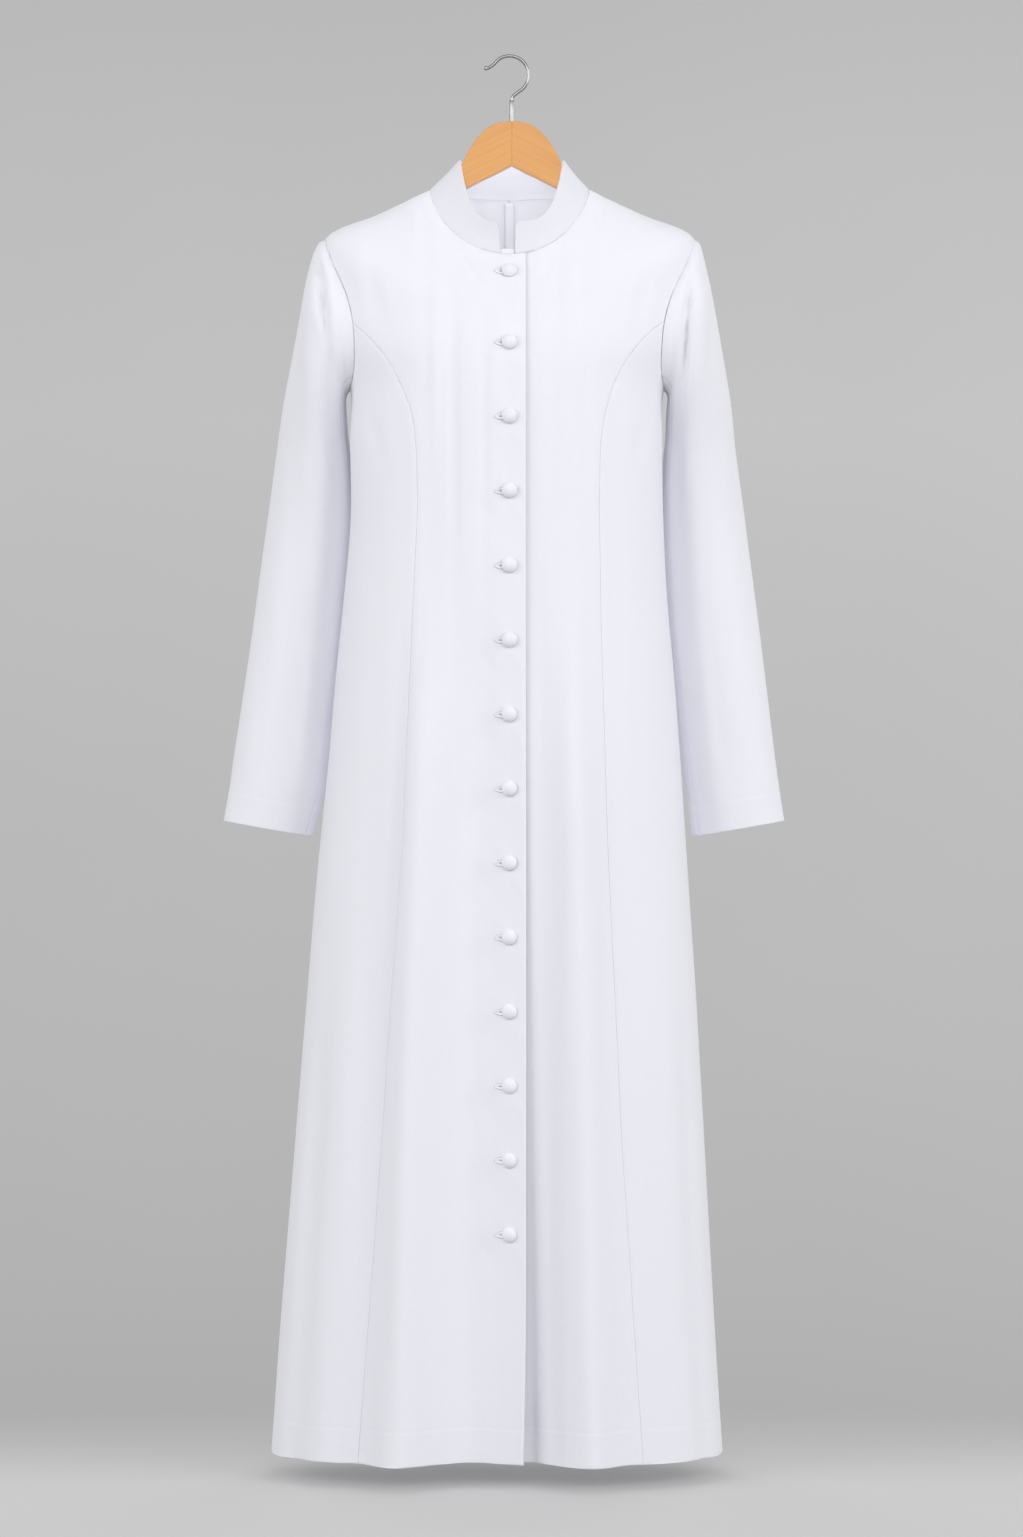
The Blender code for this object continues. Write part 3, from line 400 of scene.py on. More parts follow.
def hill(distance):
    """A smooth hill: one at zero distance, nothing from one outwards."""
    return np.where(np.abs(distance) < 1, 0.5 + 0.5 * np.cos(np.pi * distance), 0.0)


def smooth_step(value):
    value = np.clip(value, 0, 1)
    return value * value * (3 - 2 * value)


def signed_power(value, power):
    return np.copysign(np.abs(value) ** power, value)


def unit(vectors):
    return vectors / np.maximum(np.linalg.norm(vectors, axis=-1, keepdims=True), 1e-12)


def both_arrays(first, second):
    return np.broadcast_arrays(np.asarray(first, float), np.asarray(second, float))


def distance_along(points, axis=0):
    """Distance from the first point, step by step along one axis of a grid of points."""
    steps = np.linalg.norm(np.diff(points, axis=axis), axis=-1)
    return np.concatenate((np.zeros_like(np.take(steps, [0], axis=axis)), np.cumsum(steps, axis=axis)),
                          axis=axis)


def fold_depths(angle, z):
    """How far the folds push the cloth out."""
    depth = np.zeros(np.broadcast(angle, z).shape)
    for fold in FOLDS:
        away = (np.degrees(angle) - fold["centre"] + 180) % 360 - 180
        below = fold["top_z"] - z
        reach = np.maximum(below / (fold["top_z"] - HEM_Z), 0)
        strength = smooth_step(below / FOLD_FADE) * (FOLD_EARLY + (1 - FOLD_EARLY) * reach)
        depth = depth + fold["depth"] * strength * hill(away / fold["half_width"])
    return depth


def body_points(angle, ring):
    """Outer face of the body."""
    angle, ring = both_arrays(angle, ring)
    side, ahead = np.sin(angle), np.cos(angle)
    size = {name: rows_value(values, ring) for name, values in RINGS.items()}
    half = np.where(side > 0, size["left"], size["right"])
    depth = np.where(ahead > 0, size["front"], size["back"])
    middle_z = np.where(ahead > 0, size["front_z"], size["back_z"])
    z = size["side_z"] + (middle_z - size["side_z"]) * np.abs(ahead) ** size["drop"]
    push = fold_depths(angle, z)
    return np.stack((half * signed_power(side, size["round"]) + push * side ** 3,
                     -depth * signed_power(ahead, size["round"]) - push * ahead, z), axis=-1)


def surface_normals(surface, first, second, outward, top=NECK_RING):
    """Unit normals of a surface function, turned to the side of the given directions."""
    along = surface(first + TURN_STEP, second) - surface(first - TURN_STEP, second)
    up = surface(first, np.minimum(second + RING_STEP, top)) - surface(first, second - RING_STEP)
    normals = unit(np.cross(along, up))
    return np.where(np.sum(normals * outward, axis=-1, keepdims=True) > 0, normals, -normals)


def radial(angle):
    """Directions straight out from the middle of the body, a little upwards."""
    return np.stack((np.sin(angle), -np.cos(angle), np.full(np.shape(angle), RADIAL_RISE)), axis=-1)


def body_normals(angle, ring):
    return surface_normals(body_points, angle, ring, radial(angle))


hem_ring = body_points(np.linspace(-math.pi, math.pi, HEM_PLACES), 0.0)
print("hem measures", round(distance_along(hem_ring)[-1], 3), "m round")

# %% [markdown]
# ## Where the front laps
#
# The wearer's right front lies on top, so the left front runs a layer's thickness behind it. Beside
# the lapping edge it falls back into a long trough that deepens to the hem, which is what draws the
# shadow line down the whole front.

# %% Lap
LAP_EDGE, LAP_UNDER = 0.0170, 0.0170
LAP_STEP, LAP_FADE = 0.0022, 0.024
EDGE_VALLEY_X, EDGE_VALLEY_HALF = 0.022, 0.038
EDGE_VALLEY_TOP, EDGE_VALLEY_HEM = 0.0015, 0.018
EDGE_VALLEY_POWER, EDGE_VALLEY_START = 3.0, 0.08
LAP_HEM_TOP, HEM_TURN, HEM_EXTRA = -1.385, 0.036, 0.0013
SEAM_GAP = 0.0003
RING_PLACES = np.linspace(0, NECK_RING, 6001)


def under_drop(x, z):
    """How far the left front lies behind the lapping right front, with the trough beside it."""
    fade = 1 - np.clip((x - LAP_EDGE - SEAM_GAP) / LAP_FADE, 0, 1)
    low = np.clip((LAP_HEM_TOP - z) / HEM_TURN, 0, 1)
    lap = (LAP_STEP + HEM_EXTRA * low) * smooth_step(fade)
    top_z, hem_z = RINGS["front_z"][-1], RINGS["front_z"][0]
    down = np.clip((z - top_z) / (hem_z - top_z), 0, 1)
    valley = EDGE_VALLEY_TOP + (EDGE_VALLEY_HEM - EDGE_VALLEY_TOP) * down ** EDGE_VALLEY_POWER
    start = np.minimum(down / EDGE_VALLEY_START, 1)
    return lap + valley * start * hill((x - EDGE_VALLEY_X) / EDGE_VALLEY_HALF)


def under_points(angle, ring):
    """Outer face of the left front."""
    points = body_points(angle, ring)
    drop = under_drop(points[..., 0], points[..., 2])
    ways = unit(body_normals(angle, ring) + np.array((0.0, -1.0, 0.0)))
    return points - drop[..., None] * ways


def angle_at(x, ring):
    """Angle on the front of a ring that lies at this x."""
    ring = np.asarray(ring, float)
    half = np.where(x > 0, rows_value(RINGS["left"], ring), rows_value(RINGS["right"], ring))
    share = np.minimum(np.abs(x) / half, 1) ** (1 / rows_value(RINGS["round"], ring))
    return np.copysign(np.arcsin(share), x)


def ring_at(z, column="front_z"):
    """Ring number where a column that rises from the hem up has a value."""
    return np.interp(z, rows_value(RINGS[column], RING_PLACES), RING_PLACES)


print("left front behind the lap at the hem:", round(float(under_drop(LAP_EDGE, HEM_Z)), 4))

# %% [markdown]
# ## Creases, seams and the hem line
#
# Cloth that hangs from a collar and buttons is never quite smooth. Each crease here is a soft ridge
# or trough along a line on the front, the back or a sleeve, placed where the photograph shows one,
# with similar ones on the sides that it hides. The seams are fine dips with a faint ridge beside
# them, where the pressed allowance lies behind. The hem shows as a shallow line with the small
# dimples of blind stitches.

# %% Creases
# Each crease: from x, z to x, z, half width, height out of the cloth, and the shares of its length
# over which it fades in and out
FRONT_CREASES = (
    (-0.056, -0.209, -0.010, -0.270, 0.0070, -0.0018, 0.15, 0.60),
    (-0.040, -0.215, -0.004, -0.300, 0.0070, 0.0009, 0.20, 0.60),
    (0.046, -0.209, 0.023, -0.270, 0.0070, -0.0016, 0.15, 0.60),
    (0.061, -0.190, 0.058, -0.400, 0.0090, 0.0014, 0.20, 0.70),
    (-0.026, -0.255, -0.027, -0.620, 0.0090, -0.0017, 0.20, 0.60),
    (-0.059, -0.230, -0.056, -0.600, 0.0095, -0.0017, 0.20, 0.60),
    (-0.075, -0.200, -0.078, -0.480, 0.0100, 0.0015, 0.20, 0.60),
    (0.075, -0.200, 0.078, -0.500, 0.0100, -0.0015, 0.20, 0.60),
    (0.044, -0.260, 0.042, -0.560, 0.0100, -0.0013, 0.25, 0.60),
    (-0.092, -0.158, -0.084, -0.205, 0.0050, -0.0018, 0.20, 0.60),
    (-0.100, -0.160, -0.096, -0.230, 0.0060, 0.0012, 0.20, 0.70),
    (0.086, -0.155, 0.090, -0.196, 0.0050, -0.0018, 0.20, 0.60),
    (0.096, -0.160, 0.100, -0.225, 0.0060, 0.0012, 0.20, 0.70),
    (-0.150, -0.215, -0.120, -0.330, 0.0140, -0.0012, 0.30, 0.70),
    (0.150, -0.215, 0.122, -0.330, 0.0140, -0.0012, 0.30, 0.70),
    (-0.150, -0.360, -0.120, -0.470, 0.0120, -0.0010, 0.30, 0.60),
    (0.148, -0.360, 0.118, -0.470, 0.0120, -0.0010, 0.30, 0.60),
)
BACK_CREASES = (
    (-0.070, -0.175, -0.020, -0.290, 0.0110, -0.0012, 0.20, 0.60),
    (0.068, -0.175, 0.020, -0.295, 0.0110, -0.0012, 0.20, 0.60),
    (-0.110, -0.200, -0.090, -0.420, 0.0130, 0.0010, 0.25, 0.60),
    (0.112, -0.200, 0.092, -0.410, 0.0130, 0.0010, 0.25, 0.60),
    (-0.045, -0.300, -0.050, -0.680, 0.0120, -0.0010, 0.25, 0.60),
    (0.043, -0.300, 0.048, -0.700, 0.0120, -0.0010, 0.25, 0.60),
    (-0.150, -0.380, -0.110, -0.480, 0.0110, -0.0012, 0.30, 0.60),
    (0.148, -0.380, 0.108, -0.480, 0.0110, -0.0012, 0.30, 0.60),
)


def crease_heights(x, z, rows):
    """Height of a table of creases at each place."""
    total = np.zeros(np.shape(x))
    for x0, z0, x1, z1, half_width, height, fade_in, fade_out in rows:
        length = math.hypot(x1 - x0, z1 - z0)
        along = ((x - x0) * (x1 - x0) + (z - z0) * (z1 - z0)) / length
        across = ((x - x0) * (z1 - z0) - (z - z0) * (x1 - x0)) / length
        ends = smooth_step(along / (fade_in * length)) * smooth_step((length - along) / (fade_out * length))
        total = total + height * hill(across / half_width) * ends
    return total


print("front creases:", len(FRONT_CREASES), "back creases:", len(BACK_CREASES))

# %% Pulls and waves
BUTTON_COUNT, BUTTON_TOP_Z, BUTTON_PITCH = 14, -0.2310, 0.0765
BUTTON_HEIGHTS = [BUTTON_TOP_Z - number * BUTTON_PITCH for number in range(BUTTON_COUNT)]
# Pull of the cloth about one button: place from it, half widths across and along, height, slant
PULL_ROWS = (
    (0.000, 0.000, 0.013, 0.013, -0.0006, 0.0),
    (-0.009, 0.014, 0.007, 0.020, 0.0006, 38.0),
    (0.008, -0.020, 0.007, 0.022, 0.0006, 30.0),
    (-0.022, -0.024, 0.010, 0.026, -0.0006, 35.0),
)
PULL_UNEVEN, PULL_TURN, PULL_START = 0.35, 2.4, 1.0
# Slight unevenness of hanging cloth. Each long wave: height, length across, how far it sways, the
# length and start of its sway, and its own start. The last wave crosses them: height, its lengths
# down and across and its start, and the lengths across and down and the start that it swells with
BODY_WAVES = (
    (0.00034, 0.0093, 1.3, 0.19, 0.0, 0.6),
    (0.00038, 0.0151, -1.1, 0.27, 1.0, 2.1),
    (0.00016, 0.0044, 1.6, 0.23, 0.7, 0.0),
)
BODY_CROSS_WAVE = (0.00012, 0.052, 0.021, 0.4, 0.030, 0.15, 0.0)
FACING_SPREAD, BACK_SHIFT = 1.6, 0.4


def button_pulls(x, z):
    """Small dents and slanting ridges round the buttons."""
    total = np.zeros(np.shape(x))
    for number, height in enumerate(BUTTON_HEIGHTS):
        uneven = 1 + PULL_UNEVEN * math.sin(PULL_TURN * number + PULL_START)
        for dx, dz, half_across, half_along, lift, slant in PULL_ROWS:
            turn = math.radians(slant)
            away_x, away_z = x - dx, z - height - dz
            across = away_x * math.cos(turn) + away_z * math.sin(turn)
            along = away_z * math.cos(turn) - away_x * math.sin(turn)
            total = total + lift * uneven * hill(across / half_across) * hill(along / half_along)
    return total


def slow_waves(x, z, long_waves, cross_wave):
    total = np.zeros(np.shape(x))
    for height, across, sway, sway_length, sway_start, start in long_waves:
        total = total + height * np.sin(x / across + sway * np.sin(z / sway_length + sway_start) + start)
    height, down, across, start, swell_across, swell_down, swell_start = cross_wave
    swell = np.sin(x / swell_across + z / swell_down + swell_start)
    return total + height * np.sin(z / down + x / across + start) * swell


def facing(normals):
    """How far each place looks forward, and how far it looks back."""
    forward = -normals[..., 1] * FACING_SPREAD
    return smooth_step(forward), smooth_step(-forward)


def body_relief(points, normals):
    """Creases, pulls and waves on the body, each on the side that it belongs to."""
    x, z = points[..., 0], points[..., 2]
    front, back = facing(normals)
    return (front * (crease_heights(x, z, FRONT_CREASES) + button_pulls(x, z))
            + back * crease_heights(x, z, BACK_CREASES)
            + (front + back) * slow_waves(x + BACK_SHIFT * back, z, BODY_WAVES, BODY_CROSS_WAVE))


print("pulls at each button:", len(PULL_ROWS), "long waves:", len(BODY_WAVES))

# %% Seams and hems
CLOTH_GAP = 0.00004
SEAM_DIP, SEAM_HALF = 0.00040, 0.0015
ALLOWANCE_PLACE, ALLOWANCE_HALF, ALLOWANCE_HEIGHT = 0.0060, 0.0050, 0.00025
PUCKER_PITCH, PUCKER_REACH, PUCKER_HEIGHT = 0.0125, 0.010, 0.00014
PUCKER_SWAY, PUCKER_SWAY_LENGTH = 2.0, 0.043
ROLL_DIP, ROLL_HALF = 0.0006, 0.0016
ROLL_RIDGE, ROLL_RIDGE_PLACE, ROLL_RIDGE_HALF = 0.00012, 0.005, 0.004
HEM_LINE_DIP, HEM_LINE_HALF, HEM_DIMPLE_SHARE, HEM_DIMPLE_PITCH = 0.00010, 0.0026, 0.4, 0.0085
HEM_RIDGE, HEM_RIDGE_PLACE, HEM_RIDGE_HALF = 0.00010, 0.0040, 0.0042
HEM_RIPPLE, HEM_RIPPLE_PITCH, HEM_RIPPLE_SWAY, HEM_RIPPLE_SWAY_LENGTH = 0.00016, 0.031, 1.7, 0.05


def seam_relief(distance, rise):
    """The dip at a seam, the pressed allowance beside it and small puckers along it."""
    dip = -SEAM_DIP * np.clip(1 - distance / SEAM_HALF, 0, 1) ** 2
    ridge = ALLOWANCE_HEIGHT * hill((distance - ALLOWANCE_PLACE) / ALLOWANCE_HALF)
    phase = math.tau * rise / PUCKER_PITCH + PUCKER_SWAY * np.sin(rise / PUCKER_SWAY_LENGTH)
    return dip + ridge + PUCKER_HEIGHT * np.sin(phase) * hill(distance / PUCKER_REACH)


def roll_relief(distance, rise):
    """A pressed edge that rolls back a little, the same all the way up."""
    dip = -ROLL_DIP * np.clip(1 - distance / ROLL_HALF, 0, 1) ** 2
    return dip + ROLL_RIDGE * hill((distance - ROLL_RIDGE_PLACE) / ROLL_RIDGE_HALF)


def hem_relief(height, run, turn_up):
    """The line of blind stitches at the top of a turned-up hem."""
    dimples = 1 + HEM_DIMPLE_SHARE * np.cos(math.tau * run / HEM_DIMPLE_PITCH)
    line = hill((height - turn_up) / HEM_LINE_HALF) * dimples
    ridge = hill((height - turn_up + HEM_RIDGE_PLACE) / HEM_RIDGE_HALF)
    phase = math.tau * run / HEM_RIPPLE_PITCH + HEM_RIPPLE_SWAY * np.sin(run / HEM_RIPPLE_SWAY_LENGTH)
    ripple = np.sin(phase) * hill((height - turn_up / 2) / turn_up)
    return -HEM_LINE_DIP * line + HEM_RIDGE * ridge + HEM_RIPPLE * ripple


print("seam dip", SEAM_DIP, "m, hem line", HEM_LINE_DIP, "m")

# %% [markdown]
# ## From a grid to a sheet of cloth
#
# A cut piece of cloth is one sheet, so each piece starts as Blender's own grid. Its points are then
# moved to their places on the surface. The columns are spread by real distance across the cloth and
# crowd together near the edges, where the seam dips are only a millimetre or two wide. The hem is
# made as it is sewn: the sheet goes down to the edge, round it and up again inside. A Solidify
# modifier gives the wall, inwards from the outer face.

# %% Cloth sheets
CLOTH_WALL = 0.0007
EDGE_STEPS = np.array((0.0, 0.0004, 0.0009, 0.0015, 0.0023, 0.0034, 0.0052, 0.0080, 0.0120))
EDGE_SHARE, COARSE_STEPS = 0.40, 97
made = {}


def spread_columns(surface, low, high, places, middle):
    """Angles for each row between two edges, spaced by real distance and crowded at both ends."""
    coarse = low[:, None] + (high - low)[:, None] * np.linspace(0, 1, COARSE_STEPS)
    run = distance_along(surface(coarse, places[:, None]), axis=1)
    angles, runs = [], []
    for row, width in enumerate(run[:, -1]):
        near = CLOTH_GAP / 2 + EDGE_STEPS * min(1.0, EDGE_SHARE * width / EDGE_STEPS[-1])
        between = np.linspace(near[-1], width - near[-1], middle + 2)[1:-1]
        wanted = np.concatenate((near, between, width - near[::-1]))
        angles.append(np.interp(wanted, run[row], coarse[row]))
        runs.append(wanted)
    return np.array(angles), np.array(runs), run[:, -1:]


def rise_of(points):
    """Distance up the middle column from the first row."""
    return distance_along(points[:, points.shape[1] // 2])[:, None]


def sheet_mesh(name, points, normals, run, rise):
    """A bmesh grid moved onto the points, with its cloth UV in metres and its faces outwards."""
    rows, columns = points.shape[:2]
    work = bmesh.new()
    bmesh.ops.create_grid(work, x_segments=columns - 1, y_segments=rows - 1, size=1.0)
    mesh = mesh_from(name, work)
    flat = np.empty(len(mesh.vertices) * 3)
    mesh.vertices.foreach_get("co", flat)
    flat = flat.reshape(-1, 3)
    column = np.rint((flat[:, 0] + 1) / 2 * (columns - 1)).astype(int)
    row = np.rint((flat[:, 1] + 1) / 2 * (rows - 1)).astype(int)
    mesh.vertices.foreach_set("co", points[row, column].ravel())
    corners = np.empty(len(mesh.loops), dtype=int)
    mesh.loops.foreach_get("vertex_index", corners)
    spread = np.stack(np.broadcast_arrays(run, rise), axis=-1)[row, column][corners]
    mesh.uv_layers.new(name="cloth").data.foreach_set("uv", spread.ravel())
    mesh.update()
    ways = np.empty(len(mesh.vertices) * 3)
    mesh.vertices.foreach_get("normal", ways)
    if np.sum(ways.reshape(-1, 3) * normals[row, column]) < 0:
        mesh.flip_normals()
    mesh.shade_smooth()
    return mesh


def add_piece(name, mesh, material, *nodes):
    """File a finished piece in the scene, riding on the robe's body in place of its solids."""
    piece = add_object(name, mesh)
    mesh.materials.append(material)
    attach(piece, BODY)
    if nodes:
        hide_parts(*nodes)
    made[name] = piece
    return piece


def add_wall(piece, thickness):
    wall = piece.modifiers.new("wall", "SOLIDIFY")
    wall.thickness = thickness
    wall.offset = -1.0


def add_bevel(piece, width, segments, angle=50):
    bevel = piece.modifiers.new("edge", "BEVEL")
    bevel.width = width
    bevel.segments = segments
    bevel.limit_method = "ANGLE"
    bevel.angle_limit = math.radians(angle)


print("wall", CLOTH_WALL, "m, crowded columns at an edge:", len(EDGE_STEPS))

# %% Turned-up hems
HEM_ROLL = 0.0010
HEM_ROLL_STEPS, HEM_ROW_SKIP = 7, 3


def turned_hem(base, outer, normals, run, rise, height, turn_up):
    """Rows for the turned-up hem put before the outer rows: up inside, then round the edge."""
    count = int(np.sum(height[:, height.shape[1] // 2] <= turn_up))
    inside = [row for row in range(count - 1, -1, -HEM_ROW_SKIP) if row > 2]
    rolls = np.linspace(0, math.pi, HEM_ROLL_STEPS)[:-1]
    downward = unit(base[0] - base[2])
    rows = [base[row] - normals[row] * 2 * HEM_ROLL for row in inside]
    rows += [base[0] - normals[0] * HEM_ROLL * (1 + math.cos(roll)) + downward * HEM_ROLL * math.sin(roll)
             for roll in rolls]
    ways = [-normals[row] for row in inside] + [normals[0] * -math.cos(roll) for roll in rolls]
    rises = [-rise[row] - math.pi * HEM_ROLL for row in inside]
    rises += [np.array([HEM_ROLL * (roll - math.pi)]) for roll in rolls]
    return (np.concatenate((np.array(rows), outer)), np.concatenate((np.array(ways), normals)),
            np.concatenate((np.repeat(run[:1], len(rows), axis=0), run)),
            np.concatenate((np.array(rises), rise)))


def hemmed_piece(name, base, normals, lift, run, rise, height, turn_up):
    """A cloth piece from its plain surface, the relief on it and the turn-up of its hem."""
    outer = base + normals * lift[..., None]
    rows = turned_hem(base, outer, normals, run, rise, height, turn_up)
    add_wall(add_piece(f"cloth_{name}", sheet_mesh(name, *rows), robe_cloth, name), CLOTH_WALL)


print("hem folded", 2 * HEM_ROLL, "m thick")

# %% [markdown]
# ## The six body panels
#
# Each front runs from the lap to the curved seam, and above that seam to the armhole. A narrow side
# front lies between the seam and the side, and each back from the side to the centre back. The edge
# of a panel is an angle for every ring, and two neighbours share the same edge, a hair apart.

# %% Panel edges
SEAM_BEYOND, SEAM_PLACES, SEAM_SMOOTHING = 0.05, 1500, 18
SEAM_FIRST_GUESS, SEAM_ROUNDS = math.radians(35), 14
SEAM_TOP_PLACES, SEAM_TOP_FROM, SEAM_TOP_TO = 2000, 0.01, 0.6
LAP_HEM_SWING, LAP_SWING_TOP, LAP_SWING_LENGTH, LAP_SWING_POWER = 0.0030, -1.2, 0.26, 3
SIDE_FRONT_TIP = math.radians(0.35)


def armhole_angle(ring, cut):
    """Angle of the armhole's edge from the middle of the front or the back."""
    up = np.clip((ring - UNDERARM_RING) / (TIP_RING - UNDERARM_RING), 0, 1)
    return math.pi / 2 - cut * np.sqrt(np.maximum(4 * up * (1 - up), 0))


def smooth_seam(hand):
    """The curved seam's x at many heights, its corners rounded off."""
    z = np.linspace(SEAMS["z"][0] - SEAM_BEYOND, SEAMS["z"][-1] + SEAM_BEYOND, SEAM_PLACES)
    x = np.interp(z, SEAMS["z"], SEAMS[hand])
    kernel = np.hanning(2 * SEAM_SMOOTHING + 1)
    padded = np.concatenate((np.full(SEAM_SMOOTHING, x[0]), x, np.full(SEAM_SMOOTHING, x[-1])))
    return z, np.convolve(padded, kernel / kernel.sum(), mode="valid")


SEAM_LINES = {hand: smooth_seam(hand) for hand in SIGNS}


def seam_angle(ring, hand):
    """Angle, as a positive number, of the curved front seam on each ring."""
    sign = SIGNS[hand]
    angle = np.full(np.shape(ring), SEAM_FIRST_GUESS)
    for _ in range(SEAM_ROUNDS):
        z = body_points(sign * angle, ring)[..., 2]
        angle = np.abs(angle_at(sign * np.interp(z, *SEAM_LINES[hand]), ring))
    return angle


def seam_top_ring(hand):
    """Ring number where the curved front seam runs into the armhole."""
    rings = np.linspace(UNDERARM_RING + SEAM_TOP_FROM,
                        UNDERARM_RING + SEAM_TOP_TO * (TIP_RING - UNDERARM_RING), SEAM_TOP_PLACES)
    below = seam_angle(rings, hand) < armhole_angle(rings, ARMHOLE_FRONT)
    return float(rings[np.argmin(below)])


seam_tops = {hand: seam_top_ring(hand) for hand in SIGNS}


def lap_angle(ring):
    """Edge of the lapping right front, which swings in a little towards the hem."""
    down = np.clip((LAP_SWING_TOP - rows_value(RINGS["front_z"], ring)) / LAP_SWING_LENGTH, 0, 1)
    return angle_at(LAP_EDGE - LAP_HEM_SWING * down ** LAP_SWING_POWER, ring)


def front_side(ring, hand):
    return np.where(ring <= seam_tops[hand], seam_angle(ring, hand), armhole_angle(ring, ARMHOLE_FRONT))


def side_front_outer(ring, hand):
    return np.maximum(armhole_angle(ring, ARMHOLE_FRONT), seam_angle(ring, hand) + SIDE_FRONT_TIP)


print("curved seams meet the armholes at rings", seam_tops)

# %% Rows up the body
ROW_STEP, UNDERARM_CLEAR = 0.0055, 0.003
HEM_ROW_HEIGHTS = (0.0, 0.0012, 0.003, 0.006, 0.010, 0.015, 0.021, 0.027, 0.030, 0.032, 0.0335, 0.0345,
                   0.0355, 0.0365, 0.0375, 0.0390, 0.0415, 0.045)
ARM_ROW_COUNT, SHOULDER_ROW_COUNT, NECK_FINE_FROM = 53, 26, 0.4
NECK_ROW_STEPS = (0.30, 0.20, 0.13, 0.08, 0.045, 0.02, 0.001)
TIP_ROW_STEPS = np.array((0.0, 0.006, 0.014, 0.026, 0.044))

heights = HEM_Z + np.concatenate((HEM_ROW_HEIGHTS, np.arange(
    HEM_ROW_HEIGHTS[-1] + ROW_STEP, RINGS["side_z"][UNDERARM_RING] - HEM_Z - UNDERARM_CLEAR, ROW_STEP)))
skirt_rows = ring_at(heights, "side_z")
arm_swing = (1 - np.cos(np.linspace(0, math.pi, ARM_ROW_COUNT))) / 2
arm_rows = UNDERARM_RING + (TIP_RING - UNDERARM_RING) * arm_swing
shoulder_rows = np.concatenate((np.linspace(TIP_RING, NECK_RING - NECK_FINE_FROM, SHOULDER_ROW_COUNT)[1:],
                                NECK_RING - np.array(NECK_ROW_STEPS)))
print("rows:", len(skirt_rows), len(arm_rows), len(shoulder_rows))

# %% Body panels
# Columns across the middle of each panel, between the crowded ones at its edges
PANEL_COLUMNS = {"front_right": 40, "front_left": 46, "side_front_right": 24, "side_front_left": 24,
                 "back_right": 56, "back_left": 56}
LAP_CALM, NECK_REACH = 0.02, 0.1


def body_panel(name, surface, rings, edges, kinds=(seam_relief, seam_relief)):
    """One panel of the body between two edges, with the relief of each edge's kind."""
    low, high = sorted(edges, key=np.mean)
    angles, run, width = spread_columns(surface, low, high, rings, PANEL_COLUMNS[name])
    base = surface(angles, rings[:, None])
    normals = surface_normals(surface, angles, rings[:, None], radial(angles))
    rise = rise_of(base)
    lift = body_relief(base, normals)
    if surface is under_points:
        lift = lift * smooth_step((base[..., 0] - LAP_EDGE) / LAP_CALM)
    for distance, kind in zip((run, width - run), kinds):
        lift = lift + kind(distance, rise)
    height = base[..., 2] - HEM_Z
    lift = lift + hem_relief(height, run, HEM_TURN)
    if rings[-1] > NECK_RING - NECK_REACH:
        lift = lift + seam_relief(rise[-1] - rise + SEAM_GAP / 2, run)
    hemmed_piece(name, base, normals, lift, run, rise, height, HEM_TURN)


for hand, sign in SIGNS.items():
    tip_rings = seam_tops[hand] - TIP_ROW_STEPS
    rings = np.unique(np.concatenate((skirt_rows, arm_rows, shoulder_rows, tip_rings)))
    side = sign * front_side(rings, hand)
    if hand == "right":
        body_panel("front_right", body_points, rings, (side, lap_angle(rings)), (seam_relief, roll_relief))
    else:
        under_edge = angle_at(np.full(rings.shape, -LAP_UNDER), rings)
        body_panel("front_left", under_points, rings, (under_edge, side), (roll_relief, seam_relief))
    side_rings = rings[rings < seam_tops[hand] - TIP_ROW_STEPS[1] / 2]
    body_panel(f"side_front_{hand}", body_points, side_rings,
               (sign * seam_angle(side_rings, hand), sign * side_front_outer(side_rings, hand)))
    back_edge = sign * (math.pi - armhole_angle(rings, ARMHOLE_BACK))
    body_panel(f"back_{hand}", body_points, rings, (back_edge, np.full(rings.shape, sign * math.pi)))
print("body panels:", list(made))

# %% [markdown]
# ## Two-piece sleeves
#
# A sleeve is one tube that hangs from the armhole, cut at a back seam and at an inner front seam
# that shows along its inside edge. A point on it is a turn round the tube and a row down it. Near
# the armhole the rows are drawn onto the body's own edge, so the sleeve starts where the body
# stops. Long shallow folds run down from the shoulder, where the arm would lift the cloth.

# %% Sleeve surface
SLEEVE_ROW_STEP, CUFF_TURN = 0.0055, 0.031
SLEEVE_TOP_CLEAR, CUFF_CLEAR, SLEEVE_PLACES = 0.004, 0.002, 1301
CUFF_ROW_HEIGHTS = (0.0, 0.0012, 0.003, 0.006, 0.010, 0.015, 0.020, 0.025, 0.0275, 0.0290, 0.0300, 0.0310,
                    0.0320, 0.0330, 0.0350, 0.0380)
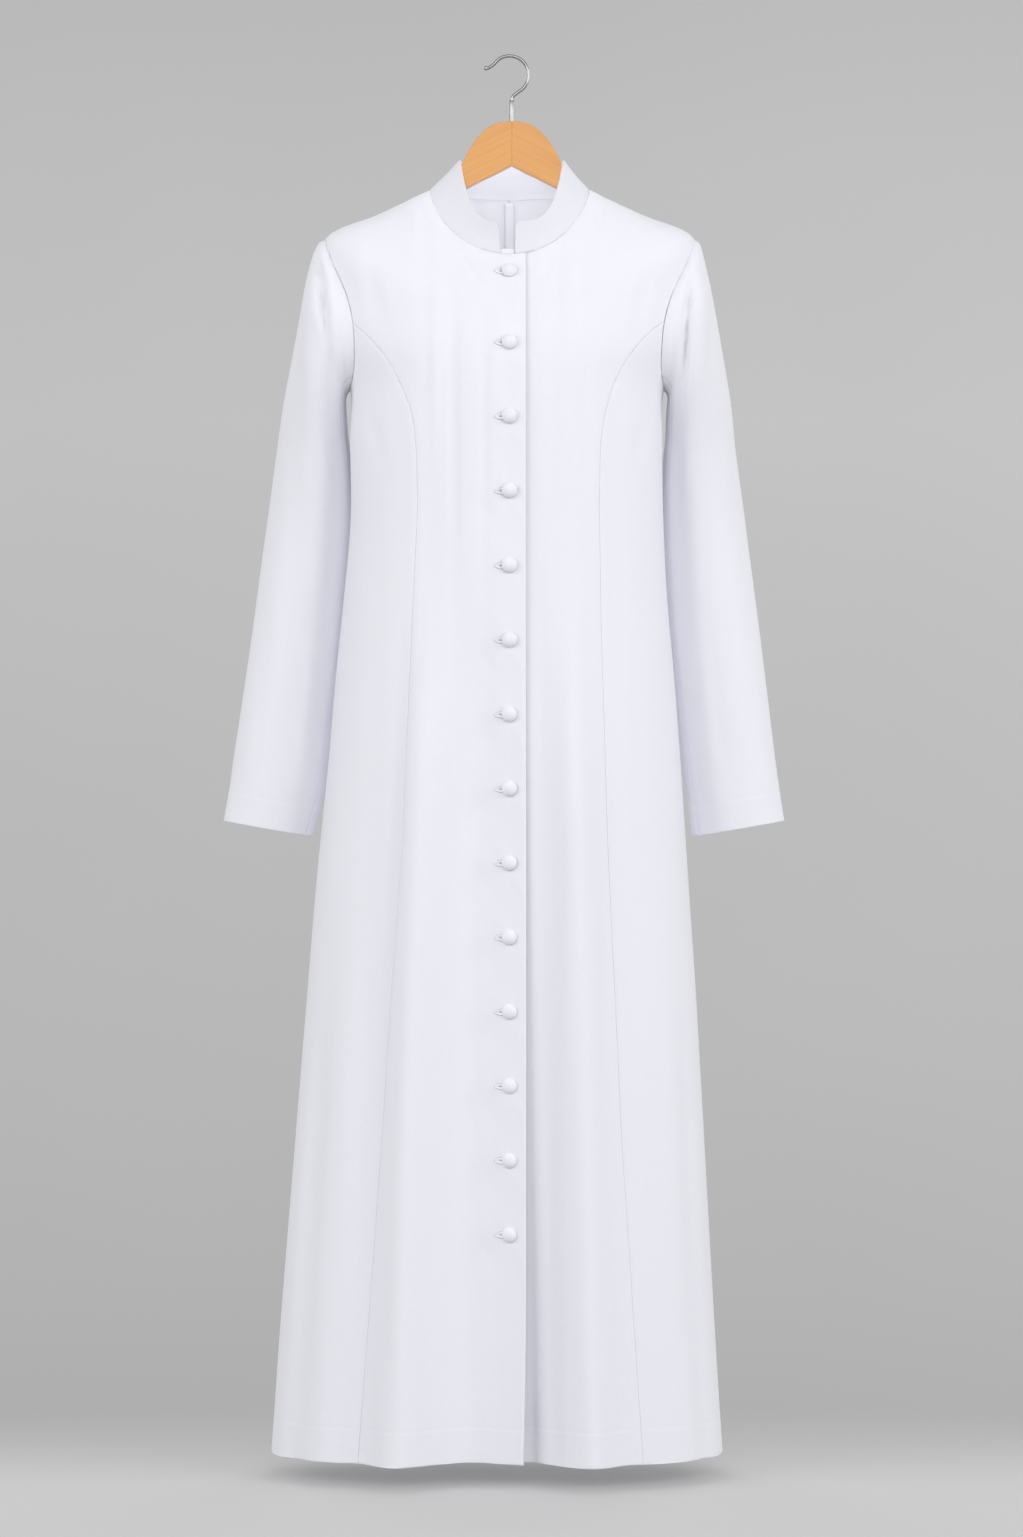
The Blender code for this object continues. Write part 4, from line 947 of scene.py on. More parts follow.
# Creases on the front of each sleeve, as x, z to x, z, half width, height, fade in, fade out
SLEEVE_CREASES = {
    "right": (
        (-0.2010, -0.2000, -0.1890, -0.3150, 0.0068, -0.0085, 0.25, 0.40),
        (-0.2130, -0.2250, -0.2080, -0.4200, 0.0130, 0.0026, 0.20, 0.60),
        (-0.1830, -0.2450, -0.1760, -0.3900, 0.0090, 0.0026, 0.25, 0.55),
        (-0.1930, -0.2800, -0.1800, -0.4700, 0.0120, -0.0045, 0.35, 0.60),
        (-0.2250, -0.3300, -0.2230, -0.6200, 0.0160, -0.0012, 0.30, 0.60),
        (-0.1950, -0.3800, -0.2080, -0.6600, 0.0160, 0.0014, 0.30, 0.60),
        (-0.2380, -0.4800, -0.2560, -0.7700, 0.0150, 0.0012, 0.40, 0.30),
        (-0.2150, -0.5600, -0.2330, -0.7700, 0.0140, -0.0012, 0.40, 0.30),
    ),
    "left": (
        (0.1920, -0.2100, 0.1760, -0.3700, 0.0066, -0.0085, 0.25, 0.40),
        (0.2040, -0.2200, 0.1950, -0.4100, 0.0120, 0.0028, 0.20, 0.60),
        (0.1720, -0.2650, 0.1664, -0.3450, 0.0042, -0.0022, 0.25, 0.45),
        (0.1780, -0.3300, 0.1740, -0.5200, 0.0120, -0.0026, 0.30, 0.60),
        (0.2180, -0.3100, 0.2150, -0.6000, 0.0150, -0.0012, 0.30, 0.60),
        (0.1880, -0.3800, 0.2000, -0.6600, 0.0160, 0.0015, 0.30, 0.60),
        (0.2330, -0.4800, 0.2490, -0.7700, 0.0150, 0.0012, 0.40, 0.30),
        (0.2080, -0.5600, 0.2270, -0.7700, 0.0140, -0.0012, 0.40, 0.30),
    ),
}


def sleeve_section(turn, row, hand):
    """A plain section of a sleeve. The turn starts at the outer edge and goes forward."""
    turn, row = both_arrays(turn, row)
    size = {name: rows_value(values, row) for name, values in SLEEVES.items()}
    outer, inner = size[f"{hand}_outer"], size[f"{hand}_inner"]
    outer_z, inner_z = size["outer_z"], size["inner_z"]
    return np.stack((SIGNS[hand] * ((outer + inner) / 2 + (outer - inner) / 2 * np.cos(turn)),
                     size["centre_y"] - size["half_depth"] * np.sin(turn),
                     (outer_z + inner_z) / 2 + (outer_z - inner_z) / 2 * np.cos(turn)), axis=-1)


def armhole_points(turn, hand):
    """The body's armhole edge for a turn round the sleeve."""
    ring = UNDERARM_RING + (TIP_RING - UNDERARM_RING) * (1 + np.cos(turn)) / 2
    angle = np.where(np.sin(turn) >= 0, armhole_angle(ring, ARMHOLE_FRONT),
                     math.pi - armhole_angle(ring, ARMHOLE_BACK))
    return body_points(SIGNS[hand] * angle, ring)


def sleeve_points(turn, row, hand):
    """Outer face of a sleeve, drawn onto the real armhole near its seam."""
    turn, row = both_arrays(turn, row)
    settle = np.clip(1 - row / SLEEVE_SETTLE, 0, 1) ** 2
    edge = armhole_points(turn, hand) - sleeve_section(turn, 0.0, hand)
    return sleeve_section(turn, row, hand) + edge * settle[..., None]


def sleeve_rows(hand):
    """Row numbers from the cuff up to the armhole, close together at both ends."""
    places = np.linspace(0, SLEEVE_END, SLEEVE_PLACES)
    run = distance_along(sleeve_points(math.pi / 2, places, hand))
    near = EDGE_STEPS + CLOTH_GAP
    middle = np.arange(near[-1] + SLEEVE_TOP_CLEAR, run[-1] - CUFF_ROW_HEIGHTS[-1] - CUFF_CLEAR,
                       SLEEVE_ROW_STEP)
    wanted = np.concatenate((near, middle, run[-1] - np.array(CUFF_ROW_HEIGHTS[::-1])))
    return np.interp(wanted, run, places)[::-1]


print("sleeve rows:", {hand: len(sleeve_rows(hand)) for hand in SIGNS})

# %% Sleeves
SLEEVE_WAVES = ((0.00045, 0.0085, 1.2, 0.13, 0.0, 0.9),)
SLEEVE_CROSS_WAVE = (0.00040, 0.045, 0.020, 0.0, 0.024, math.inf, 1.0)
CUFF_CALM, ARMHOLE_CALM, ARMHOLE_RELIEF = 0.05, 0.03, 0.3
# Each part of a sleeve: the seams that it runs between and its columns across the middle
SLEEVE_PARTS = (
    ("upper", -SLEEVE_BACK_SEAM, SLEEVE_FRONT_SEAM, 90),
    ("under", SLEEVE_FRONT_SEAM, math.tau - SLEEVE_BACK_SEAM, 34),
)


def sleeve_piece(hand, part, start, end, middle):
    """The upper or the under sleeve, from one seam round to the other."""
    rows = sleeve_rows(hand)

    def surface(turn, row):
        return sleeve_points(turn, row, hand)

    low, high = np.full(rows.shape, start), np.full(rows.shape, end)
    turns, run, width = spread_columns(surface, low, high, rows, middle)
    base = surface(turns, rows[:, None])
    outward = base - surface(turns + math.pi, rows[:, None])
    normals = surface_normals(surface, turns, rows[:, None], outward, SLEEVE_END)
    rise, height = rise_of(base), distance_along(base)
    x, z = base[..., 0], base[..., 2]
    front, back = facing(normals)
    lift = (front + back) * crease_heights(x, z, SLEEVE_CREASES[hand])
    lift = lift + slow_waves(x + BACK_SHIFT * back, z, SLEEVE_WAVES, SLEEVE_CROSS_WAVE)
    lift = lift * smooth_step(rise / CUFF_CALM) * smooth_step((height[-1] - height) / ARMHOLE_CALM)
    lift = lift + seam_relief(run, rise) + seam_relief(width - run, rise)
    lift = lift + ARMHOLE_RELIEF * seam_relief(height[-1] - height + SEAM_GAP, run)
    lift = lift + hem_relief(height, run, CUFF_TURN)
    hemmed_piece(f"sleeve_{part}_{hand}", base, normals, lift, run, rise, height, CUFF_TURN)


for hand in SIGNS:
    for part in SLEEVE_PARTS:
        sleeve_piece(hand, *part)
    made[f"cloth_sleeve_under_{hand}"].visible_shadow = False
print("sleeves:", [name for name in made if "sleeve" in name])

# %% [markdown]
# ## Stand collar
#
# The collar is a doubled, stiffened band, about 34 mm high, that leans in to a smaller ring at its
# top and stops at the front in two rounded corners. One grid follows it round from the left corner
# to the right one. A wall of nearly two and a half millimetres and a round bevel give the soft
# rolled edge that catches the light. The columns at its two ends are wider than the bevel, which
# would otherwise be cut short all round.

# %% Collar
COLLAR_RIGHT_END, COLLAR_LEFT_END = 0.0098, 0.0060
COLLAR_HEIGHT, COLLAR_BULGE = 0.034, -0.0008
COLLAR_WAVE, COLLAR_WAVE_COUNT, COLLAR_WAVE_START = 0.0006, 7, 1.0
COLLAR_END_LIFT, COLLAR_END_REACH = 0.0006, 0.02
# Rounded front corners: how far back each one starts and how far it drops
COLLAR_RIGHT_CORNER, COLLAR_LEFT_CORNER = (0.015, 0.0085), (0.011, 0.0055)
COLLAR_TOP_Z = {"side": -0.1070, "front": -0.1790, "back": -0.1063}
COLLAR_TOP_HALF = {"right": 0.0524, "left": 0.0572}
COLLAR_TOP_DEPTH = {"front": 0.0540, "back": 0.0460}
COLLAR_WALL, COLLAR_ROLL, COLLAR_ROLL_STEPS = 0.0023, 0.00095, 3
COLLAR_UPS = (-0.004, 0.04, 0.08, 0.13, 0.20, 0.28, 0.36, 0.44, 0.52, 0.60, 0.68, 0.76, 0.83, 0.89,
              0.95, 1.0)
COLLAR_END_STEPS = (0.0, 0.0013, 0.0026, 0.0040, 0.0056, 0.0074, 0.0096, 0.0122, 0.0155)
COLLAR_COLUMNS = 170


def collar_points(angle, up):
    """Outer face of the collar, from the neck seam to its top edge."""
    angle, up = both_arrays(angle, up)
    side, ahead = np.sin(angle), np.cos(angle)
    half = np.where(side > 0, COLLAR_TOP_HALF["left"], COLLAR_TOP_HALF["right"])
    middle_z = np.where(ahead > 0, COLLAR_TOP_Z["front"], COLLAR_TOP_Z["back"])
    depth = np.where(ahead > 0, COLLAR_TOP_DEPTH["front"], COLLAR_TOP_DEPTH["back"])
    dip = ahead ** 2 * (3 - 2 * np.abs(ahead))
    base = body_points(angle, NECK_RING)
    top = np.stack((half * side, -depth * ahead,
                    COLLAR_TOP_Z["side"] + (middle_z - COLLAR_TOP_Z["side"]) * dip), axis=-1)
    out = np.stack((side, -ahead, np.zeros(side.shape)), axis=-1)
    wave = COLLAR_WAVE * np.sin(COLLAR_WAVE_COUNT * angle + COLLAR_WAVE_START)
    bulge = (COLLAR_BULGE + wave) * np.sin(np.pi * up)
    return base + (top - base) * up[..., None] + out * bulge[..., None]


neck_half = RINGS["right"][-1]
end_steps = np.array(COLLAR_END_STEPS) / neck_half
collar_rows, collar_ups = [], np.array(COLLAR_UPS)
for up in collar_ups:
    half = {hand: neck_half + (top_half - neck_half) * up for hand, top_half in COLLAR_TOP_HALF.items()}
    first = math.asin(COLLAR_LEFT_END / half["left"])
    last = math.tau - math.asin(COLLAR_RIGHT_END / half["right"])
    middle = np.linspace(first + end_steps[-1], last - end_steps[-1], COLLAR_COLUMNS)[1:-1]
    collar_rows.append(np.concatenate((first + end_steps, middle, last - end_steps[::-1])))
collar_angles = np.array(collar_rows)
from_left = (collar_angles - collar_angles[:, :1]) * neck_half
from_right = (collar_angles[:, -1:] - collar_angles) * neck_half
cut = np.zeros(collar_angles.shape)
for away, (reach, fall) in ((from_left, COLLAR_LEFT_CORNER), (from_right, COLLAR_RIGHT_CORNER)):
    inside = np.clip(1 - away / reach, 0, 1)
    cut = cut + fall * (1 - np.sqrt(1 - inside ** 2))
low_ups = collar_ups[:, None] * (1 - cut / COLLAR_HEIGHT)
collar_face = collar_points(collar_angles, low_ups)
near_end = np.minimum(from_left, from_right) < COLLAR_END_REACH
collar_face[..., 2] += COLLAR_END_LIFT * (1 - collar_ups[:, None]) * near_end
collar_out = surface_normals(collar_points, collar_angles, low_ups, radial(collar_angles), math.inf)
collar_face += collar_out * seam_relief(np.abs(low_ups) * COLLAR_HEIGHT, from_left)[..., None]
collar = add_piece("cloth_collar", sheet_mesh("collar", collar_face, collar_out, from_left,
                                              low_ups * COLLAR_HEIGHT), collar_cloth_painted_shade, "collar")
collar.visible_shadow = False
add_wall(collar, COLLAR_WALL)
add_bevel(collar, COLLAR_ROLL, COLLAR_ROLL_STEPS)
print("collar grid:", collar_face.shape[:2])

# %% [markdown]
# ## Inside the neck
#
# Between the two corners of the collar a low strip of the left front shows, and inside the back a
# narrow tape runs down over the centre seam. Both are small strips of the same cloth.

# %% Neck strip and back tape
STRIP_HEIGHT, STRIP_SIDE, STRIP_FORWARD = 0.006, 0.0015, 0.0004
STRIP_ROUND, STRIP_LEAN, STRIP_WALL = 1.2, 0.12, 0.0014
STRIP_ROLL, STRIP_ROLL_STEPS = 0.0005, 2
STRIP_COLUMNS, STRIP_ROWS, TAPE_COLUMNS = 15, 7, 7
TAPE_HALF, TAPE_WALL = 0.005, 0.0008
TAPE_FIRST_ROW, TAPE_TOP_CLEAR, TAPE_TOP_ROWS, TAPE_HEM_CLEAR = 20, 0.06, 28, 0.02
TAPE_BEHIND_HEM, TAPE_BEHIND_WALL = 0.0028, 0.0015

strip_x = np.linspace(-COLLAR_RIGHT_END + STRIP_SIDE, COLLAR_LEFT_END - STRIP_SIDE, STRIP_COLUMNS)
strip_up = np.linspace(SEAM_GAP / 2, STRIP_HEIGHT, STRIP_ROWS)[:, None]
strip_y = -RINGS["front"][-1] + LAP_STEP + STRIP_FORWARD + STRIP_ROUND * (strip_x - strip_x.mean()) ** 2
strip_face = np.stack(np.broadcast_arrays(strip_x, strip_y + STRIP_LEAN * strip_up,
                                          RINGS["front_z"][-1] + strip_up), axis=-1)
strip_out = np.broadcast_to(np.array((0.0, -1.0, 0.0)), strip_face.shape)
neck_strip = add_piece("cloth_neck_facing", sheet_mesh(
    "neck_facing", strip_face, strip_out, strip_x - strip_x[0], strip_up), robe_cloth, "neck_facing")
add_wall(neck_strip, STRIP_WALL)
add_bevel(neck_strip, STRIP_ROLL, STRIP_ROLL_STEPS)

hem_top_ring = ring_at(HEM_Z + HEM_TURN, "side_z")
tape_rings = np.concatenate(([hem_top_ring + TAPE_HEM_CLEAR], skirt_rows[TAPE_FIRST_ROW:], arm_rows[1:],
                             np.linspace(TIP_RING, NECK_RING - TAPE_TOP_CLEAR, TAPE_TOP_ROWS)[1:]))
tape_share = TAPE_HALF / rows_value(RINGS["right"], tape_rings)
tape_turn = np.arcsin(tape_share ** (1 / rows_value(RINGS["round"], tape_rings)))
tape_angles = math.pi + tape_turn[:, None] * np.linspace(-1, 1, TAPE_COLUMNS)
tape_face = body_points(tape_angles, tape_rings[:, None])
tape_out = body_normals(tape_angles, tape_rings[:, None])
tape_drop = np.where(tape_rings < hem_top_ring, TAPE_BEHIND_HEM, TAPE_BEHIND_WALL) + 2 * SEAM_GAP
tape_face = tape_face - tape_out * tape_drop[:, None, None]
tape = add_piece("cloth_back_seam_tape", sheet_mesh(
    "back_seam_tape", tape_face, tape_out, np.linspace(0, 2 * TAPE_HALF, TAPE_COLUMNS),
    rise_of(tape_face)), robe_cloth, "back_seam_tape")
add_wall(tape, TAPE_WALL)
print("neck strip and tape:", strip_face.shape[:2], tape_face.shape[:2])

# %% [markdown]
# ## Cloth-covered buttons
#
# Fourteen domed buttons close the front, each a shell under a disc of the robe's cloth, gathered
# behind and sewn on by a short shank. One profile is spun a full turn and set square to the cloth
# at every button's height.

# %% Buttons
BUTTON_DOME = (
    (0.0, 0.0070), (0.0015, 0.00690), (0.0030, 0.00655), (0.0044, 0.00600), (0.0057, 0.00520),
    (0.0068, 0.00415), (0.0076, 0.00300), (0.0080, 0.00215), (0.0079, 0.00150), (0.0072, 0.00110),
    (0.0048, 0.00100), (0.0026, 0.00095), (0.0023, 0.00060), (0.0024, 0.0), (0.0, 0.0))
BUTTON_STEPS, BUTTON_TURN = 48, 137.5
SPIN_MERGE = 0.000005


def spun(profile, steps):
    """A bmesh turned about +Z from a profile of radius and height."""
    work = bmesh.new()
    points = [work.verts.new((radius, 0, height)) for radius, height in profile]
    edges = [work.edges.new(pair) for pair in zip(points, points[1:])]
    bmesh.ops.spin(work, geom=points + edges, cent=(0, 0, 0), axis=(0, 0, 1), dvec=(0, 0, 0),
                   angle=math.tau, steps=steps, use_merge=True, use_duplicate=False)
    bmesh.ops.remove_doubles(work, verts=work.verts, dist=SPIN_MERGE)
    bmesh.ops.recalc_face_normals(work, faces=work.faces)
    return work


def smooth_mesh(name, work, sharp):
    """A mesh with smooth faces, but sharp where they meet at more than an angle."""
    mesh = mesh_from(name, work)
    mesh.shade_smooth()
    mesh.set_sharp_from_angle(angle=math.radians(sharp))
    return mesh


def placed_mesh(name, work, matrix, sharp=60):
    bmesh.ops.transform(work, matrix=matrix, verts=work.verts)
    return smooth_mesh(name, work, sharp)


for number, height in enumerate(BUTTON_HEIGHTS):
    node = f"button_{number + 1:02d}"
    low, high = (Vector(corner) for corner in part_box(node))
    normal = Vector(body_normals(np.array(0.0), np.array(float(ring_at(height)))))
    seat = (low + high) / 2 - normal * BUTTON_DOME[0][1] / 2
    tilt = normal.to_track_quat("Z", "Y").to_matrix().to_4x4()
    turn = Matrix.Rotation(math.radians(BUTTON_TURN * number), 4, "Z")
    mesh = placed_mesh(node, spun(BUTTON_DOME, BUTTON_STEPS), Matrix.Translation(seat) @ tilt @ turn)
    add_piece(f"covered_{node}", mesh, button_cloth, node)
print("buttons:", len(BUTTON_HEIGHTS))

# %% [markdown]
# ## Worked buttonholes
#
# Each buttonhole is a short slot across the edge of the right front, bound with thick satin thread.
# Its outer end shows left of the button: two raised rows of thread that close to a point, round a
# slit, which is a thin dark sheet of painted shade. A thin grey cord just outside the loop is a
# painted shadow line beside the raised thread. A bevelled curve follows each loop, lies on the cloth
# and becomes one mesh. The hook's wire is made in the same way further down.

# %% Wires and cords
WIRE_MERGE = 0.000002


def wire_piece(name, radius, routes, round_steps, bend_steps, material, *nodes):
    """A round wire or cord along each route of (place, share of the radius), made one mesh."""
    curve = bpy.data.curves.new(name, "CURVE")
    curve.dimensions = "3D"
    curve.bevel_depth = radius
    curve.bevel_resolution = round_steps
    curve.resolution_u = bend_steps
    curve.use_fill_caps = True
    for route in routes:
        spline = curve.splines.new("BEZIER")
        spline.bezier_points.add(len(route) - 1)
        for knot, (place, share) in zip(spline.bezier_points, route):
            knot.co = place
            knot.radius = share
            knot.handle_left_type = knot.handle_right_type = "AUTO"
    bent = add_object(name, curve)
    bpy.context.view_layer.update()
    whole = bpy.data.meshes.new_from_object(bent.evaluated_get(bpy.context.evaluated_depsgraph_get()))
    bpy.data.objects.remove(bent, do_unlink=True)
    work = bmesh.new()
    work.from_mesh(whole)
    bpy.data.meshes.remove(whole)
    bmesh.ops.remove_doubles(work, verts=work.verts, dist=WIRE_MERGE)
    bmesh.ops.recalc_face_normals(work, faces=work.faces)
    mesh = mesh_from(name, work)
    mesh.shade_smooth()
    return add_piece(name, mesh, material, *nodes)


print("points of a wire closer than", WIRE_MERGE, "m become one")

# %% Buttonholes
STITCH_RADIUS, SHADOW_LINE_OUT, SHADOW_LINE_RADIUS = 0.00085, 0.00095, 0.00045
# Half of the loop's outline, as distance out from the button's middle and half width
STITCH_ROUTE = ((0.0050, 0.00240), (0.0078, 0.00235), (0.0100, 0.00205), (0.0120, 0.00150),
                (0.0136, 0.00080), (0.0145, 0.0))
STITCH_DROP, STITCH_SINK = 0.0008, 0.25
CORD_ROUND_STEPS, CORD_BEND_STEPS = 2, 5
SLIT_FROM, SLIT_TO, SLIT_HALF = 0.0060, 0.0099, 0.00050
SLIT_LIFT, SLIT_WALL, SLIT_COLUMNS, SLIT_ROWS = 0.00015, 0.0001, 6, 2
PLACE_ROUNDS, RING_RISE = 3, 0.15


def cloth_at(x, z):
    """Outer face and normal of the right front at a place seen from the front."""
    ring = ring_at(np.asarray(z, float))
    for _ in range(PLACE_ROUNDS):
        ring = ring + (z - body_points(angle_at(x, ring), ring)[..., 2]) / RING_RISE
    angle = angle_at(x, ring)
    point, normal = body_points(angle, ring), body_normals(angle, ring)
    return point + normal * body_relief(point, normal)[..., None], normal


def buttonhole_routes(widen, radius):
    """A route round every buttonhole's outline, widened a little."""
    outline = [(-out - widen * (half == 0), -half - widen * (half > 0)) for out, half in STITCH_ROUTE]
    outline += [(out, -half) for out, half in reversed(outline[:-1])]
    across, along = np.array(outline).T
    for height in BUTTON_HEIGHTS:
        points, normals = cloth_at(across, height - STITCH_DROP + along)
        yield [(place, 1.0) for place in points + normals * radius * STITCH_SINK]


stitching = wire_piece("buttonhole_stitching", STITCH_RADIUS, buttonhole_routes(0.0, STITCH_RADIUS),
                       CORD_ROUND_STEPS, CORD_BEND_STEPS, thread)
# A thin grey cord just outside each loop, a painted shadow line beside the raised thread
wire_piece("buttonhole_gimp", SHADOW_LINE_RADIUS, buttonhole_routes(SHADOW_LINE_OUT, SHADOW_LINE_RADIUS),
           CORD_ROUND_STEPS, CORD_BEND_STEPS, painted_shadow_line)

# Thin dark sheets in the slits, painted shade for the gap
slits = bmesh.new()
for height in BUTTON_HEIGHTS:
    patch = bmesh.ops.create_grid(slits, x_segments=SLIT_COLUMNS, y_segments=SLIT_ROWS, size=0.5)["verts"]
    shares = np.array([point.co[:] for point in patch])
    x = -SLIT_FROM - (SLIT_TO - SLIT_FROM) * (0.5 - shares[:, 0])
    z = height - STITCH_DROP + SLIT_HALF * 2 * shares[:, 1]
    points, normals = cloth_at(x, z)
    for corner, place in zip(patch, points + normals * SLIT_LIFT):
        corner.co = place
bmesh.ops.recalc_face_normals(slits, faces=slits.faces)
slit_mesh = mesh_from("buttonhole_slits", slits)
if sum(face.normal.y * face.area for face in slit_mesh.polygons) > 0:
    slit_mesh.flip_normals()
add_wall(add_piece("buttonhole_slits", slit_mesh, slit_painted_shade), SLIT_WALL)
print("buttonholes:", len(BUTTON_HEIGHTS), "stitch faces:", len(stitching.data.polygons))

# %% [markdown]
# ## Wooden hanger
#
# The hanger is two shaped arms of one board, glued at the middle. Each half is cut to an outline,
# its faces are left flat and its edges are rounded with a router, which leaves a bright line along
# the top. The outline runs down under the shoulders just inside the cloth.

# %% Hanger arms
JOINT_X = 0.0024
ARM_ROUND_EDGE, ARM_ROUND_STEPS, ARM_ROUND_ANGLE, ARM_SHARP = 0.0021, 4, 60, 40
ARM_COLUMNS = ("across", "top_z", "bottom_z", "half_y")
ARM_ROWS = (
    (0.0000, -0.0672, -0.1133, 0.0062),
    (0.0147, -0.0693, -0.1210, 0.0062),
    (0.0263, -0.0751, -0.1265, 0.0062),
    (0.0360, -0.0845, -0.1314, 0.0062),
    (0.0452, -0.0977, -0.1362, 0.0062),
    (0.0520, -0.1112, -0.1405, 0.0058),
    (0.0570, -0.1230, -0.1440, 0.0058),
    (0.0640, -0.1315, -0.1490, 0.0058),
    (0.0730, -0.1408, -0.1550, 0.0058),
    (0.0835, -0.1490, -0.1650, 0.0058),
    (0.1050, -0.1560, -0.1750, 0.0056),
    (0.1300, -0.1660, -0.1855, 0.0050),
    (0.1520, -0.1746, -0.1950, 0.0044),
    (0.1680, -0.1801, -0.2000, 0.0038),
    (0.1740, -0.1866, -0.2000, 0.0030),
    (0.1770, -0.1890, -0.1970, 0.0022),
)
ARM = columns_of(ARM_COLUMNS, ARM_ROWS)
ARM_TIP_ROW, ARM_PLACE_COUNT, TIP_PLACE_COUNT = 11, 78, 22
ARM_PLACES = np.concatenate((np.linspace(0, ARM_TIP_ROW, ARM_PLACE_COUNT),
                             np.linspace(ARM_TIP_ROW, len(ARM_ROWS) - 1, TIP_PLACE_COUNT)[1:]))


def hanger_arm(hand, material):
    """One arm: its outline filled, given its thickness and its edges rounded."""
    size = {name: rows_value(values, ARM_PLACES) for name, values in ARM.items()}
    last = len(ARM_PLACES) - 1
    work = bmesh.new()
    bmesh.ops.create_grid(work, x_segments=last, y_segments=1, size=1.0)
    for point in work.verts:
        step = round((point.co.x + 1) / 2 * last)
        edge = "top_z" if point.co.y > 0 else "bottom_z"
        point.co = (JOINT_X + SIGNS[hand] * (size["across"][step] + CLOTH_GAP / 2), -size["half_y"][step],
                    size[edge][step])
    sweep = bmesh.ops.extrude_face_region(work, geom=list(work.faces))
    for point in (item for item in sweep["geom"] if isinstance(item, bmesh.types.BMVert)):
        point.co.y = -point.co.y
    bmesh.ops.recalc_face_normals(work, faces=work.faces)
    mesh = smooth_mesh(f"hanger_arm_{hand}", work, ARM_SHARP)
    arm = add_piece(f"beech_arm_{hand}", mesh, material, f"hanger_arm_{hand}")
    add_bevel(arm, ARM_ROUND_EDGE, ARM_ROUND_STEPS, ARM_ROUND_ANGLE)
    arm.visible_shadow = False
    arm.visible_diffuse = False


hanger_arm("right", wood_right)
hanger_arm("left", wood_left)
print("hanger arms:", [name for name in made if "arm_" in name])

# %% [markdown]
# ## Wire hook
#
# The hook is one length of bright wire with a small ball at its tip. It goes over the crown, round
# to the right and bends back to the middle, where it turns in a slim sleeve above the wood. A
# smooth bevelled curve through a few points gives the bends their even curves.

# %% Hook
WIRE_RADIUS, HOOK_RADIUS, STEM_BOTTOM = 0.0020, 0.0200, -0.0800
WIRE_SHARE, WIRE_ROUND_STEPS, WIRE_BEND_STEPS = 0.90, 6, 16
CROWN_TURNS = np.radians(np.linspace(146, -46, 9))
FERRULE_RADIUS, FERRULE_TOP, FERRULE_BOTTOM = 0.0030, -0.0450, -0.0673
FERRULE_BORE, FERRULE_STEPS = WIRE_RADIUS + SEAM_GAP, 40
# Route of the wire as x, z: the tip with its ball, where the wire's share of its full radius
# changes, then the crown, then down to the stem
HOOK_TIP = ((-0.0270, -0.0112, 0.45), (-0.0262, -0.0111, 1.15), (-0.0250, -0.0109, 1.20),
            (-0.0238, -0.0108, WIRE_SHARE), (-0.0211, -0.0100, WIRE_SHARE))
HOOK_STEM = ((0.0088, -0.0362), (0.0050, -0.0392), (0.0028, -0.0420), (JOINT_X, -0.0460),
             (JOINT_X, -0.0600), (JOINT_X, STEM_BOTTOM))
FERRULE_PROFILE = (
    (FERRULE_BORE, FERRULE_BOTTOM), (FERRULE_BORE, FERRULE_TOP),
    (FERRULE_RADIUS - 0.0006, FERRULE_TOP + 0.0001), (FERRULE_RADIUS - 0.0002, FERRULE_TOP - 0.0002),
    (FERRULE_RADIUS, FERRULE_TOP - 0.0007), (FERRULE_RADIUS, FERRULE_BOTTOM),
    (FERRULE_BORE, FERRULE_BOTTOM))

hook_route = [((x, 0, z), share) for x, z, share in HOOK_TIP]
hook_route += [((HOOK_RADIUS * math.cos(turn), 0, WIRE_RADIUS - HOOK_RADIUS + HOOK_RADIUS * math.sin(turn)),
                WIRE_SHARE) for turn in CROWN_TURNS]
hook_route += [((x, 0, z), WIRE_SHARE) for x, z in HOOK_STEM]
hook = wire_piece("wire_hook", WIRE_RADIUS, [hook_route], WIRE_ROUND_STEPS, WIRE_BEND_STEPS, steel,
                  "hanger_hook")
ferrule_mesh = placed_mesh("hook_ferrule", spun(FERRULE_PROFILE, FERRULE_STEPS),
                           Matrix.Translation((JOINT_X, 0, 0)), ARM_SHARP)
add_piece("steel_ferrule", ferrule_mesh, steel, "hook_ferrule")
print("hook faces:", len(hook.data.polygons))

# %% [markdown]
# ## Studio
#
# The robe hangs in front of a plain grey background. A pale grey floor lies just under the hem and
# fades with distance into the same grey, so it has no horizon. Large soft lights in front and at
# both sides leave hardly any shadow on white cloth, so one side of each fold is only slightly
# darker than the other. Two more behind keep the back as clear, and a small dim one stands for the
# light that white cloth throws about inside the neck.

# %% Floor
FLOOR_Z, FLOOR_REACH, FLOOR_CELLS = -1.487, 3.0, 8
# The floor glows evenly a little: painted light that lifts the shadow under the hem
FLOOR_PAINTED_GLOW = 0.165
FLOOR_MIDDLE, FLOOR_STRETCH = (0.0, 0.9, 0.0), (0.35, 1.0, 0.0)
FLOOR_FADE_FROM, FLOOR_FADE_TO = 0.80, 1.36

